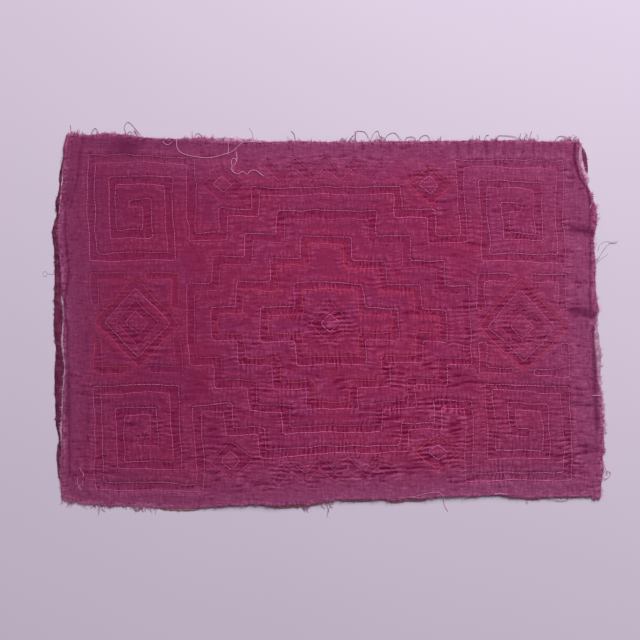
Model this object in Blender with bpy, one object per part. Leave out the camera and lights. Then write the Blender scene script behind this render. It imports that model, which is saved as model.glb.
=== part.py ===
"""A hand-sewn cotton panel of three layers, lying on its face with the back of the work up.

Metres, +Z up. +X runs along the long side and +Y towards the upper edge. The origin is under the
middle of the panel, on the surface that it lies on. Tables are in millimetres.

The three layers are the face cloth, which lies lowest, the pale middle layer and the base cloth.
Each is one closed sheet on the same net of points, so the layers keep the same small gap over
every wave. The raw edges wander as cut cloth does, and the lower layers stand out past the base
cloth where the panel shows them.
"""

import math

import bmesh
import bpy

MM = 0.001

PANEL_WIDTH = 430.0 * MM
PANEL_HEIGHT = 293.0 * MM
CLOTH_THICKNESS = 1.0 * MM
LAYER_GAP = 0.3 * MM

# The net of points: narrow columns beside the two sides, where the creases run, and even ones
# between them
SIDE_COLUMNS = 4
SIDE_COLUMN = 5.0 * MM
MIDDLE_COLUMNS = 28
ROWS = 24

# Where the raw edges of the base cloth run, inside the panel's outer size
# down: distance below the upper edge of the panel; inset: distance in from its side
BASE_LEFT = (
    (0.0, 12.4),
    (10.0, 9.5),
    (26.0, 6.9),
    (38.0, 6.6),
    (55.0, 2.7),
    (65.0, 4.2),
    (77.0, 2.4),
    (103.0, 5.9),
    (122.0, 5.9),
    (136.0, 8.0),
    (160.0, 6.9),
    (184.0, 10.5),
    (199.0, 7.6),
    (227.0, 6.6),
    (247.0, 8.0),
    (262.0, 6.9),
    (284.0, 7.6),
)
BASE_RIGHT = (
    (6.0, 18.8),
    (20.0, 19.2),
    (28.0, 17.2),
    (46.0, 10.1),
    (58.0, 6.3),
    (68.0, 5.2),
    (82.0, 8.0),
    (98.0, 6.6),
    (121.0, 6.3),
    (137.0, 4.2),
    (144.0, 6.3),
    (163.0, 7.0),
    (192.0, 4.5),
    (218.0, 1.1),
    (231.0, 1.8),
    (247.0, 0.0),
    (268.0, 2.8),
    (284.0, 2.6),
)
# across: distance from the left side of the panel; inset: distance in from its upper or lower edge
BASE_TOP = (
    (10.0, 0.8),
    (34.0, 0.4),
    (42.0, 0.0),
    (57.0, 1.2),
    (73.0, 3.5),
    (120.0, 4.3),
    (143.0, 5.9),
    (194.0, 5.1),
    (221.0, 6.6),
    (272.0, 6.6),
    (361.0, 5.5),
    (385.0, 6.6),
    (412.0, 6.2),
)
BASE_BOTTOM = (
    (8.0, 8.8),
    (19.0, 5.2),
    (35.0, 2.3),
    (73.0, 1.6),
    (104.0, 0.5),
    (151.0, 2.7),
    (164.0, 2.7),
    (181.0, 0.2),
    (191.0, 0.2),
    (205.0, 3.9),
    (217.0, 7.0),
    (241.0, 5.5),
    (286.0, 7.0),
    (295.0, 9.4),
    (326.0, 9.4),
    (338.0, 11.3),
    (369.0, 8.6),
    (397.0, 10.9),
    (427.0, 9.4),
)

# How far the lower layers stand out past the base cloth; less than nothing is tucked under it
HIDDEN = -1.5
# along: the same measure as in the tables above; out: distance past the edge of the base cloth
MIDDLE_LEFT = (
    (120.0, HIDDEN),
    (136.0, 0.6),
    (184.0, 1.2),
    (227.0, 0.9),
    (240.0, 0.5),
    (250.0, HIDDEN),
)
MIDDLE_RIGHT = (
    (6.0, 1.7),
    (20.0, 2.8),
    (33.0, 3.7),
    (38.0, 2.1),
    (44.0, HIDDEN),
    (132.0, HIDDEN),
    (140.0, 1.6),
    (163.0, 4.3),
    (174.0, 3.8),
    (200.0, 1.4),
    (213.0, 1.5),
    (229.0, 1.5),
    (238.0, HIDDEN),
)
MIDDLE_TOP = (
    (118.0, HIDDEN),
    (128.0, 0.8),
    (165.0, 0.8),
    (175.0, HIDDEN),
)
MIDDLE_BOTTOM = ((0.0, HIDDEN),)
FACE_LEFT = (
    (0.0, HIDDEN),
    (20.0, 0.3),
    (45.0, 1.0),
    (66.0, 0.4),
    (77.0, 2.4),
    (97.0, 3.4),
    (122.0, 3.8),
    (136.0, 6.4),
    (160.0, 4.8),
    (184.0, 8.3),
    (199.0, 5.3),
    (227.0, 3.8),
    (241.0, 1.8),
    (252.0, 4.0),
    (262.0, 2.8),
    (280.0, 0.7),
)
FACE_RIGHT = (
    (6.0, 1.8),
    (17.0, 6.2),
    (24.0, 6.3),
    (31.0, 4.2),
    (37.0, HIDDEN),
)
FACE_TOP = ((0.0, HIDDEN),)
FACE_BOTTOM = (
    (78.0, HIDDEN),
    (88.0, 0.3),
    (106.0, 0.3),
    (116.0, HIDDEN),
)

# How the panel lies. All of it stands this much above the bottoms of its creases
LIFT = 0.55 * MM
# Long soft waves between the lines of stitching
# x, y: middle of the wave from the middle of the panel; length, width: half its size; turn: degrees
WAVES = (
    # x, y, length, width, turn, rise
    (-150.0, 108.0, 52.0, 17.0, 4.0, 0.45),
    (-60.0, 98.0, 44.0, 20.0, -8.0, 0.35),
    (48.0, 106.0, 48.0, 18.0, 6.0, 0.45),
    (140.0, 100.0, 46.0, 19.0, -5.0, 0.40),
    (-168.0, 40.0, 26.0, 34.0, 0.0, 0.40),
    (-78.0, 36.0, 42.0, 20.0, 10.0, 0.50),
    (8.0, 14.0, 36.0, 30.0, 0.0, 0.60),
    (92.0, 38.0, 40.0, 20.0, -9.0, 0.50),
    (172.0, 30.0, 24.0, 36.0, 3.0, 0.40),
    (-120.0, -30.0, 60.0, 14.0, 3.0, 0.55),
    (110.0, -34.0, 62.0, 14.0, -4.0, 0.55),
    (-40.0, -62.0, 70.0, 13.0, -3.0, 0.50),
    (120.0, -84.0, 56.0, 13.0, 4.0, 0.55),
    (-132.0, -92.0, 58.0, 15.0, -2.0, 0.50),
    (10.0, -112.0, 64.0, 14.0, 2.0, 0.45),
)
# Soft troughs: old seam folds beside the raw edges, and dips that run in from the right edge
CREASES = (
    # start x, start y, end x, end y, half_width, depth
    (-203.5, 66.0, -205.0, 10.0, 4.5, 0.50),
    (-205.0, 10.0, -202.0, -78.0, 5.0, 0.55),
    (-202.0, -78.0, -201.5, -122.0, 4.0, 0.45),
    (192.5, 138.0, 193.0, 122.0, 4.0, 0.50),
    (193.0, 122.0, 201.0, 104.0, 4.5, 0.55),
    (204.5, 86.0, 205.5, 16.0, 4.0, 0.45),
    (205.5, 16.0, 206.0, -60.0, 4.0, 0.40),
    (186.0, 68.0, 212.0, 71.0, 6.0, 0.60),
    (192.0, 5.0, 213.0, 7.0, 6.5, 0.55),
)

# Principled BSDF of each layer
WINE_MAGENTA = (0.235, 0.022, 0.085, 1.0)
PALE_ROSE = (0.72, 0.58, 0.62, 1.0)
DARK_WINE = (0.085, 0.008, 0.038, 1.0)
CLOTH_ROUGHNESS = 0.9


def read_edge(rows, along):
    """The second column of an edge table at a place along it, on a smooth line through its rows."""
    if along <= rows[0][0]:
        return rows[0][1]
    if along >= rows[-1][0]:
        return rows[-1][1]
    slopes = [0.0] * len(rows)
    for i in range(1, len(rows) - 1):
        slopes[i] = (rows[i + 1][1] - rows[i - 1][1]) / (rows[i + 1][0] - rows[i - 1][0])
    for i in range(len(rows) - 1):
        start, low = rows[i]
        end, high = rows[i + 1]
        if along <= end:
            break
    step = end - start
    t = (along - start) / step
    ease_in = t * (1.0 - t) ** 2 * step
    ease_out = t * t * (t - 1.0) * step
    blend = t * t * (3.0 - 2.0 * t)
    return low + (high - low) * blend + slopes[i] * ease_in + slopes[i + 1] * ease_out


def base_edges(x, y):
    """Where the left, right, bottom and top edges of the base cloth pass the point (x, y)."""
    down = (PANEL_HEIGHT / 2.0 - y) / MM
    across = (x + PANEL_WIDTH / 2.0) / MM
    left = -PANEL_WIDTH / 2.0 + read_edge(BASE_LEFT, down) * MM
    right = PANEL_WIDTH / 2.0 - read_edge(BASE_RIGHT, down) * MM
    bottom = -PANEL_HEIGHT / 2.0 + read_edge(BASE_BOTTOM, across) * MM
    top = PANEL_HEIGHT / 2.0 - read_edge(BASE_TOP, across) * MM
    return left, right, bottom, top


def base_point(u, v):
    """A point of the base cloth: u runs from its left edge to its right, v from bottom to top."""
    x = (u - 0.5) * PANEL_WIDTH
    y = (v - 0.5) * PANEL_HEIGHT
    for _ in range(8):
        left, right, bottom, top = base_edges(x, y)
        x = left + (right - left) * u
        y = bottom + (top - bottom) * v
    return x, y


def column_places():
    """Places of the net's columns, as shares of the width."""
    side = [i * SIDE_COLUMN / PANEL_WIDTH for i in range(SIDE_COLUMNS)]
    first = SIDE_COLUMNS * SIDE_COLUMN / PANEL_WIDTH
    step = (1.0 - 2.0 * first) / MIDDLE_COLUMNS
    middle = [first + i * step for i in range(MIDDLE_COLUMNS + 1)]
    other_side = [1.0 - place for place in reversed(side)]
    return side + middle + other_side


def swell(x, y, row):
    """Height of one soft wave at (x, y)."""
    wave_x, wave_y, length, width, turn, rise = row
    angle = math.radians(turn)
    dx = x / MM - wave_x
    dy = y / MM - wave_y
    along = (dx * math.cos(angle) + dy * math.sin(angle)) / length
    across = (dy * math.cos(angle) - dx * math.sin(angle)) / width
    return rise * MM * math.exp(-along * along - across * across)


def trough(x, y, row):
    """Depth of one crease at (x, y)."""
    start_x, start_y, end_x, end_y, half_width, depth = row
    run_x = end_x - start_x
    run_y = end_y - start_y
    dx = x / MM - start_x
    dy = y / MM - start_y
    share = (dx * run_x + dy * run_y) / (run_x * run_x + run_y * run_y)
    share = min(1.0, max(0.0, share))
    away = math.hypot(dx - share * run_x, dy - share * run_y) / half_width
    return depth * MM * math.exp(-away * away)


def relief(x, y):
    """How far the cloth lies above the bottoms of its creases at (x, y)."""
    height = LIFT + sum(swell(x, y, row) for row in WAVES)
    return max(0.0, height - max(trough(x, y, row) for row in CREASES))


def make_cloth(name, colour):
    """The material of one layer."""
    material = bpy.data.materials.new(name)
    material.use_nodes = True
    shader = material.node_tree.nodes["Principled BSDF"]
    shader.inputs["Base Color"].default_value = colour
    shader.inputs["Roughness"].default_value = CLOTH_ROUGHNESS
    shader.inputs["Metallic"].default_value = 0.0
    material.diffuse_color = colour
    return material


def layer_net(left, right, bottom, top):
    """The net of one layer at its relief, with its outer points moved out or in by its tables."""
    columns = column_places()
    last = len(columns) - 1
    mesh = bmesh.new()
    bmesh.ops.create_grid(mesh, x_segments=last, y_segments=ROWS, size=0.5)
    for vert in mesh.verts:
        column = round((vert.co.x + 0.5) * last)
        row = round((vert.co.y + 0.5) * ROWS)
        x, y = base_point(columns[column], row / ROWS)
        # the outermost cells lie level across, so that no two layers come nearer there
        inner_column = min(last - 1, max(1, column))
        inner_row = min(ROWS - 1, max(1, row))
        height = relief(*base_point(columns[inner_column], inner_row / ROWS))
        down = (PANEL_HEIGHT / 2.0 - y) / MM
        across = (x + PANEL_WIDTH / 2.0) / MM
        if column == 0:
            x -= read_edge(left, down) * MM
        if column == last:
            x += read_edge(right, down) * MM
        if row == 0:
            y -= read_edge(bottom, across) * MM
        if row == ROWS:
            y += read_edge(top, across) * MM
        vert.co = (x, y, height)
    return mesh


def make_layer(name, colour, level, edges, flat_below=False):
    """One layer as a closed sheet: its underside lies level above the relief, or flat at z = 0."""
    mesh = layer_net(*edges)
    bmesh.ops.triangulate(mesh, faces=mesh.faces[:], quad_method="FIXED")
    under = mesh.verts[:]
    lifted = bmesh.ops.extrude_face_region(mesh, geom=mesh.faces[:])
    for item in lifted["geom"]:
        if isinstance(item, bmesh.types.BMVert):
            item.co.z += level + CLOTH_THICKNESS
    for vert in under:
        vert.co.z = 0.0 if flat_below else vert.co.z + level
    bmesh.ops.recalc_face_normals(mesh, faces=mesh.faces[:])
    data = bpy.data.meshes.new(name)
    mesh.to_mesh(data)
    mesh.free()
    data.materials.append(make_cloth(name, colour))
    layer = bpy.data.objects.new(name, data)
    bpy.context.scene.collection.objects.link(layer)
    return layer


def main():
    """Clear the scene and lay the three layers, lowest first."""
    for old in list(bpy.data.objects):
        bpy.data.objects.remove(old, do_unlink=True)
    step = CLOTH_THICKNESS + LAYER_GAP
    even = (((0.0, 0.0),),) * 4
    face_edges = (FACE_LEFT, FACE_RIGHT, FACE_BOTTOM, FACE_TOP)
    middle_edges = (MIDDLE_LEFT, MIDDLE_RIGHT, MIDDLE_BOTTOM, MIDDLE_TOP)
    make_layer("face_cloth", DARK_WINE, 0.0, face_edges, flat_below=True)
    make_layer("middle_layer", PALE_ROSE, step, middle_edges)
    make_layer("base_cloth", WINE_MAGENTA, 2.0 * step, even)


main()
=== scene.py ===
import math

import bmesh
import bpy
import numpy as np
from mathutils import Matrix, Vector, kdtree
from mathutils.bvhtree import BVHTree


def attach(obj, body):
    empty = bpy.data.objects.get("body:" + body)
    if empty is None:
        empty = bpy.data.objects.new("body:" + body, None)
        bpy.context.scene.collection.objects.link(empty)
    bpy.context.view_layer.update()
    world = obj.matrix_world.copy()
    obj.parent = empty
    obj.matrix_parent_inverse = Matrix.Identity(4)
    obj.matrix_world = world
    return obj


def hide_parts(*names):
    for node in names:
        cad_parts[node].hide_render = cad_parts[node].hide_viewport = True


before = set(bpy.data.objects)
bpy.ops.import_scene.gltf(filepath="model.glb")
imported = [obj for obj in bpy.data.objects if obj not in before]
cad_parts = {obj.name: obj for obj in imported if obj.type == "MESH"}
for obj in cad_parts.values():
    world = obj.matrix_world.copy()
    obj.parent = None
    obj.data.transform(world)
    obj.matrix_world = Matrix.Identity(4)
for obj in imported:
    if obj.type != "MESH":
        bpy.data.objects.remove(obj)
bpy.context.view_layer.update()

# The table top under the panel: a flat board painted pale lilac and almost clean, with faint
# clouds and fine grain in its paint. The panel lies loose on it, and it fills the whole picture.

MM = 0.001
FLOOR_SIZE = 9.0
FLOOR_COLOUR = (0.615, 0.520, 0.640, 1.0)
FLOOR_SHADE = (0.585, 0.493, 0.612, 1.0)


class Wire:
    """A value in a material's nodes. Sums, differences and products add their Math nodes."""

    def __init__(self, tree, socket=None):
        self.tree = tree
        self.socket = socket

    def node(self, kind, settings, sockets, output=0):
        """A new node: its settings are made first, then its sockets get values or wires."""
        made = self.tree.nodes.new(kind)
        for name, value in settings.items():
            setattr(made, name, value)
        for name, value in sockets.items():
            if isinstance(value, Wire):
                self.tree.links.new(value.socket, made.inputs[name])
            else:
                made.inputs[name].default_value = value
        return Wire(self.tree, made.outputs[output])

    def math(self, operation, *values):
        """A Math node that works on wires or plain values."""
        return self.node("ShaderNodeMath", {"operation": operation}, dict(enumerate(values)))

    def __add__(self, other):
        return self.math("ADD", self, other)

    def __radd__(self, other):
        return self.math("ADD", other, self)

    def __sub__(self, other):
        return self.math("SUBTRACT", self, other)

    def __rsub__(self, other):
        return self.math("SUBTRACT", other, self)

    def __mul__(self, other):
        return self.math("MULTIPLY", self, other)

    def __rmul__(self, other):
        return self.math("MULTIPLY", other, self)

    def between(self, low, high):
        """0 below low, 1 above high and a soft step between them."""
        return self.node(
            "ShaderNodeMapRange",
            {"interpolation_type": "SMOOTHSTEP"},
            {"Value": self, "From Min": low, "From Max": high},
        )

    def mix(self, first, second):
        """The first colour where this is 0, the second where it is 1."""
        settings = {"data_type": "RGBA", "clamp_factor": True}
        return self.node("ShaderNodeMix", settings, {0: self, 6: first, 7: second}, 2)

    def part(self, number):
        """The x, y or z of a place, for number 0, 1 or 2."""
        return self.node("ShaderNodeSeparateXYZ", {}, {"Vector": self}, number)

    def stretched(self, size_x, size_y, size_z=1.0):
        """A place, in millimetres, turned into a place in a pattern with cells of these sizes."""
        scale = (1.0 / size_x, 1.0 / size_y, 1.0 / size_z)
        settings = {"operation": "MULTIPLY"}
        return self.node("ShaderNodeVectorMath", settings, {0: self, 1: scale})

    def noise(self, detail=2.0, roughness=0.5):
        """Noise with cells of size 1 at this place, round 0.5."""
        sockets = {"Vector": self, "Scale": 1.0, "Detail": detail, "Roughness": roughness}
        return self.node("ShaderNodeTexNoise", {"noise_dimensions": "3D"}, sockets)


def start_material(name, roughness, gloss=0.0):
    """A material, its surface shader, and the place of each point in millimetres."""
    material = bpy.data.materials.new(name)
    material.use_nodes = True
    tree = material.node_tree
    shader = tree.nodes["Principled BSDF"]
    shader.inputs["Roughness"].default_value = roughness
    shader.inputs["Specular IOR Level"].default_value = gloss
    place = Wire(tree).node("ShaderNodeTexCoord", {}, {}, "Object")
    millimetres = place.stretched(MM, MM, MM)
    return material, shader, millimetres


def finish_material(material, shader, colour, height=None):
    """Join the colour and, where one is given, the height in millimetres."""
    tree = material.node_tree
    tree.links.new(colour.socket, shader.inputs["Base Color"])
    if height is not None:
        sockets = {"Strength": 1.0, "Distance": MM, "Height": height}
        bump = Wire(tree).node("ShaderNodeBump", {}, sockets)
        tree.links.new(bump.socket, shader.inputs["Normal"])
    return material


def put_in_scene(name, data):
    """A new object with this mesh, light or camera."""
    made = bpy.data.objects.new(name, data)
    bpy.context.scene.collection.objects.link(made)
    return made


def make_floor():
    mesh = bmesh.new()
    bmesh.ops.create_grid(mesh, x_segments=1, y_segments=1, size=FLOOR_SIZE / 2.0)
    data = bpy.data.meshes.new("floor")
    mesh.to_mesh(data)
    mesh.free()
    floor = put_in_scene("floor", data)
    material, shader, place = start_material("lilac_board", 0.75, 0.5)
    cloud = place.stretched(180.0, 180.0, 180.0).noise(3.0)
    grain = place.stretched(1.6, 1.6, 1.6).noise(3.0)
    colour = (cloud * 0.7 + grain * 0.3).mix(FLOOR_SHADE, FLOOR_COLOUR)
    data.materials.append(finish_material(material, shader, colour, grain * 0.02))


make_floor()

# The face cloth: plain dark wine cotton, the side of the panel that is meant to be seen. It lies
# lowest here, and its raw edge stands out past the others along the left side, at the upper right
# and in places along the lower side, where its colour is painted paler and browner: painted light
# that lifts it out of the base cloth's shadow. Tables of raw edges are in millimetres.

PANEL_WIDTH = 430.0
PANEL_HEIGHT = 293.0
# down: distance below the upper edge of the panel; inset: distance in from its side
BASE_LEFT = (
    (0.0, 11.6), (10.0, 9.2), (18.7, 9.0), (25.7, 9.0), (38.2, 8.6), (43.5, 7.8), (48.8, 7.6),
    (55.0, 6.8), (64.4, 6.1), (70.5, 5.0), (76.5, 3.6), (87.0, 4.9), (103.4, 6.8), (122.0, 7.4),
    (135.3, 9.4), (160.3, 9.0), (170.0, 9.6), (183.7, 10.8), (199.3, 9.2), (227.0, 7.9),
    (246.6, 7.7), (261.7, 6.7), (284.0, 7.4),
)
BASE_RIGHT = (
    (6.0, 18.8), (20.1, 19.2), (28.5, 17.1), (36.8, 14.0), (45.9, 10.1), (57.7, 6.3),
    (67.5, 5.2), (75.8, 6.3), (82.1, 8.0), (97.9, 6.6), (120.5, 6.3), (131.3, 4.9),
    (136.9, 4.2), (143.8, 6.3), (163.3, 7.0), (174.3, 5.6), (191.9, 4.5), (199.3, 2.9),
    (218.0, 1.0), (231.3, 0.6), (247.3, -1.0), (252.9, 0.8), (263.3, 0.0), (267.5, 1.2),
    (284.0, 2.4),
)
# across: distance from the left side of the panel; inset: in from its upper or lower edge
BASE_TOP = (
    (10.0, 1.4), (33.9, 1.2), (41.7, 0.6), (57.3, 1.2), (72.9, 3.5), (88.5, 4.3), (119.7, 4.3),
    (124.5, 5.0), (128.5, 6.6), (135.0, 6.8), (166.5, 6.7), (193.8, 6.3), (221.0, 7.0),
    (271.8, 6.4), (330.3, 5.9), (361.5, 5.5), (384.9, 6.6), (412.0, 6.2),
)
BASE_BOTTOM = (
    (8.0, 8.6), (14.4, 7.3), (18.8, 6.0), (24.5, 5.1), (34.6, 4.1), (44.8, 2.9), (54.9, 3.0),
    (75.2, 2.8), (85.3, 1.3), (105.6, 0.8), (125.9, 1.8), (136.0, 2.8), (146.2, 2.8),
    (156.3, 3.9), (166.5, 3.1), (176.6, 2.7), (186.7, 3.6), (196.9, 4.0), (207.0, 5.1),
    (217.2, 7.2), (227.3, 7.7), (247.6, 7.9), (257.7, 8.0), (267.9, 7.0), (278.0, 8.6),
    (288.1, 8.0), (298.3, 9.4), (318.6, 10.2), (328.7, 9.9), (338.8, 11.1), (349.0, 11.2),
    (359.1, 9.7), (369.3, 8.6), (389.5, 9.7), (409.8, 9.7), (420.5, 9.9), (423.0, 8.4),
    (427.5, 8.6),
)
# How far the face cloth stands out past the base cloth; less than nothing is tucked under
TUCKED = -1.2
FACE_LEFT = (
    (0.0, TUCKED), (14.0, 0.0), (18.7, 0.7), (23.0, 1.5), (26.9, 2.4), (30.8, 3.0), (35.5, 3.2),
    (39.4, 2.6), (43.3, 2.7), (48.0, 3.2), (51.9, 4.4), (55.8, 4.1), (59.7, 3.4), (65.1, 2.7),
    (70.6, 3.6), (87.0, 3.7), (95.6, 4.1), (103.4, 5.0), (122.1, 5.5), (129.9, 7.1),
    (145.5, 8.1), (153.3, 7.6), (163.4, 6.6), (170.4, 6.8), (183.7, 8.9), (192.3, 8.1),
    (199.3, 7.3), (207.9, 6.2), (219.6, 5.4), (226.6, 4.9), (232.1, 3.8), (239.1, 2.3),
    (244.5, 3.4), (250.8, 3.9), (257.0, 3.2), (262.5, 2.5), (270.3, 1.5), (275.7, 0.8),
    (284.0, 0.3),
)
FACE_RIGHT = ((6.0, 1.8), (17.0, 6.2), (24.0, 6.3), (31.0, 4.2), (37.0, TUCKED))
FACE_TOP = ((0.0, TUCKED), (400.0, TUCKED))
FACE_BOTTOM = (
    (10.0, 0.5), (40.0, 0.8), (78.0, 0.9), (83.0, 1.2), (88.0, 2.1), (111.0, 2.4), (118.0, 1.0),
    (158.0, 0.9), (167.0, 1.2), (175.0, 2.3), (199.0, 2.4), (207.0, 1.9), (213.0, 1.0),
    (222.0, 0.9), (229.0, 2.0), (246.0, 2.1), (253.0, 1.2), (260.0, 1.6), (267.0, 2.4),
    (287.0, 2.3), (294.0, 1.0), (330.0, 0.8), (350.0, 1.1), (368.0, 1.1), (374.0, 1.8),
    (385.0, 1.7), (392.0, 1.2), (408.0, 1.0), (426.0, 0.5),
)
# Heights of the layer's two sides at the raw edges, and inside them above the folds' bottoms
FACE_AT_EDGE = (0.03, 0.50)
FACE_INSIDE = (0.12, 0.45)
# The cloth comes up from its edge height over this distance in from the base cloth's edge
EDGE_RISE = 34.0
# Along the lower side the edge lies this share lower at the left and this share higher in the
# middle. A change over a distance is given by the places, from the panel's middle, where it
# starts and ends.
PRESSED_FLAT = 0.5
LIFTED = 0.3
LOWER_SIDE = (-100.0, -140.0)
PRESSED_PART = (-60.0, -130.0)
LIFTED_PART = (160.0, 100.0)
# The edges curl up and down by this share of their height, over this length
CURL = 0.35
CURL_LENGTH = 14.0
# An edge that sags does so over this distance past the base cloth
SAGS_OVER = 4.0
# The edges bend, so points find their places between them in this many rounds. Then, over this
# distance from its edge, a layer is drawn out or in to its own outline.
ROUNDS = 8
DRAWN_OUT = 9.0
# A raw edge is ragged in long steps and, by this share of them, in short ones, and its
# raggedness reaches this far in
RAGGED_LENGTH = 3.1
RAGGED_FINE_LENGTH = 1.4
RAGGED_FINE_SHARE = 0.6
RAGGED_REACH = 3.0

# How the panel lies: all of it stands a little above its lowest folds
LIFT = 0.25
# x, y: middle of a soft wave; length, width: half its size; turn: degrees; rise: height
WAVES = (
    (-150.0, 108.0, 52.0, 17.0, 4.0, 0.45), (-60.0, 98.0, 44.0, 20.0, -8.0, 0.35),
    (48.0, 106.0, 48.0, 18.0, 6.0, 0.45), (140.0, 100.0, 46.0, 19.0, -5.0, 0.40),
    (-168.0, 40.0, 26.0, 34.0, 0.0, 0.40), (-78.0, 36.0, 42.0, 20.0, 10.0, 0.50),
    (8.0, 14.0, 36.0, 30.0, 0.0, 0.60), (92.0, 38.0, 40.0, 20.0, -9.0, 0.50),
    (172.0, 30.0, 24.0, 36.0, 3.0, 0.40), (-120.0, -30.0, 60.0, 14.0, 3.0, 0.55),
    (110.0, -34.0, 62.0, 14.0, -4.0, 0.55), (-40.0, -62.0, 70.0, 13.0, -3.0, 0.50),
    (120.0, -84.0, 56.0, 13.0, 4.0, 0.55), (-132.0, -92.0, 58.0, 15.0, -2.0, 0.50),
    (10.0, -112.0, 64.0, 14.0, 2.0, 0.45),
)
# start x, start y, end x, end y, half width and depth of the wide folds that all layers share
WIDE_FOLDS = (
    (-203.5, 66.0, -205.0, 10.0, 4.0, 0.40), (-205.0, 10.0, -202.0, -78.0, 4.5, 0.42),
    (-202.0, -78.0, -201.5, -122.0, 4.0, 0.35), (192.5, 138.0, 193.0, 122.0, 4.0, 0.50),
    (193.0, 122.0, 201.0, 104.0, 4.5, 0.55), (204.5, 86.0, 205.5, 16.0, 4.0, 0.45),
    (205.5, 16.0, 206.0, -60.0, 4.0, 0.40), (186.0, 68.0, 212.0, 71.0, 6.0, 0.60),
    (192.0, 5.0, 213.0, 7.0, 6.5, 0.55),
)

# The cut edge is rounded out by this much
RIM_BULGE = 0.15
# Where folds press a layer thinner than this they press it ever less
THINNEST = 0.40

# plain and paler, then the same along the lower edge, lighter and browner: painted light that
# lifts the strip out of the shadow of the base cloth's edge
DARK_WINE = ((0.118, 0.0165, 0.051, 1.0), (0.245, 0.062, 0.132, 1.0))
WINE_PAINTED_LIGHTER = ((0.330, 0.150, 0.175, 1.0), (0.500, 0.250, 0.285, 1.0))
LIGHTER_FROM, LIGHTER_AT = -110.0, -132.0
THREAD_PITCH = 0.5
# How far the weave's threads wander: an angle of their wave, in radians
THREADS_WANDER = 3.0
# Cells across and up of the two lower sheets, and how many make one side of a coarse cell below
LOWER_CELLS = (180, 120, 5)

chance = np.random.default_rng(11)
SHUFFLED = chance.random((256, 256))


def soft_noise(x, y):
    """Smooth random values from 0 to 1 with cells of size 1.

    So where x or y is divided, it is by the size of the cells, and what is added to one starts
    the values in another place.
    """
    column = np.floor(x).astype(int)
    row = np.floor(y).astype(int)
    right = x - column
    up = y - row
    right = right * right * (3.0 - 2.0 * right)
    up = up * up * (3.0 - 2.0 * up)
    size = len(SHUFFLED)
    low = SHUFFLED[row % size, column % size] * (1.0 - right)
    low = low + SHUFFLED[row % size, (column + 1) % size] * right
    high = SHUFFLED[(row + 1) % size, column % size] * (1.0 - right)
    high = high + SHUFFLED[(row + 1) % size, (column + 1) % size] * right
    return low * (1.0 - up) + high * up


def soft_step(value, start, end):
    """0 before start, 1 past end and a soft step between them; either may be the higher."""
    share = np.clip((value - start) / (end - start), 0.0, 1.0)
    return share * share * (3.0 - 2.0 * share)


def read_edge(rows, along):
    """The second column of an edge table at places along it, on a smooth line through its rows."""
    place, value = np.array(rows, float).T
    slope = np.zeros(len(place))
    slope[1:-1] = (value[2:] - value[:-2]) / (place[2:] - place[:-2])
    along = np.clip(along, place[0], place[-1])
    i = np.clip(np.searchsorted(place, along) - 1, 0, len(place) - 2)
    step = place[i + 1] - place[i]
    t = (along - place[i]) / step
    ease_in = t * (1.0 - t) ** 2 * step
    ease_out = t * t * (t - 1.0) * step
    rise = (value[i + 1] - value[i]) * t * t * (3.0 - 2.0 * t)
    return value[i] + rise + slope[i] * ease_in + slope[i + 1] * ease_out


def base_edges(x, y):
    """Where the left, right, bottom and top edges of the base cloth pass the points (x, y)."""
    down = PANEL_HEIGHT / 2.0 - y
    across = x + PANEL_WIDTH / 2.0
    left = -PANEL_WIDTH / 2.0 + read_edge(BASE_LEFT, down)
    right = PANEL_WIDTH / 2.0 - read_edge(BASE_RIGHT, down)
    bottom = -PANEL_HEIGHT / 2.0 + read_edge(BASE_BOTTOM, across)
    top = PANEL_HEIGHT / 2.0 - read_edge(BASE_TOP, across)
    return left, right, bottom, top


def base_inset(x, y):
    """How far inside the raw edge of the base cloth the points lie; less than 0 outside it."""
    left, right, bottom, top = base_edges(x, y)
    return np.minimum(np.minimum(x - left, right - x), np.minimum(y - bottom, top - y))


def lay_out(u, v, outs, ragged, seed):
    """Places of a layer's points: u and v are shares of its width and height, from 0 to 1.

    outs: how far it stands out past the base cloth at its left, right, bottom and top.
    """
    x = (u - 0.5) * PANEL_WIDTH
    y = (v - 0.5) * PANEL_HEIGHT
    for _ in range(ROUNDS):
        left, right, bottom, top = base_edges(x, y)
        x = left + (right - left) * u
        y = bottom + (top - bottom) * v
    down = PANEL_HEIGHT / 2.0 - y
    across = x + PANEL_WIDTH / 2.0
    sides = (
        (x - left, down, outs[0], -1.0, 0.0),
        (right - x, down, outs[1], 1.0, 0.0),
        (y - bottom, across, outs[2], 0.0, -1.0),
        (top - y, across, outs[3], 0.0, 1.0),
    )
    for number, (away, along, rows, way_x, way_y) in enumerate(sides):
        row = along * 0.0 + seed + 17.0 * number
        uneven = soft_noise(along / RAGGED_LENGTH, row) - 0.5
        fine = soft_noise(along / RAGGED_FINE_LENGTH, row + 5.0) - 0.5
        uneven = uneven + RAGGED_FINE_SHARE * fine
        out = read_edge(rows, along) * np.clip(1.0 - away / DRAWN_OUT, 0.0, 1.0) ** 2
        out = out + ragged * uneven * np.clip(1.0 - away / RAGGED_REACH, 0.0, 1.0) ** 2
        x = x + out * way_x
        y = y + out * way_y
    return x, y


def resting_relief(x, y):
    """How far all layers lie above the bottoms of their folds."""
    height = np.full(np.shape(x), LIFT)
    for wave_x, wave_y, length, width, turn, rise in WAVES:
        angle = math.radians(turn)
        along = ((x - wave_x) * math.cos(angle) + (y - wave_y) * math.sin(angle)) / length
        aside = ((y - wave_y) * math.cos(angle) - (x - wave_x) * math.sin(angle)) / width
        height = height + rise * np.exp(-along * along - aside * aside)
    deepest = np.zeros(np.shape(x))
    for fold in WIDE_FOLDS:
        deepest = np.maximum(deepest, fold[5] * near_line(x, y, fold[:4], fold[4]))
    return np.maximum(0.0, height - deepest)


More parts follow.
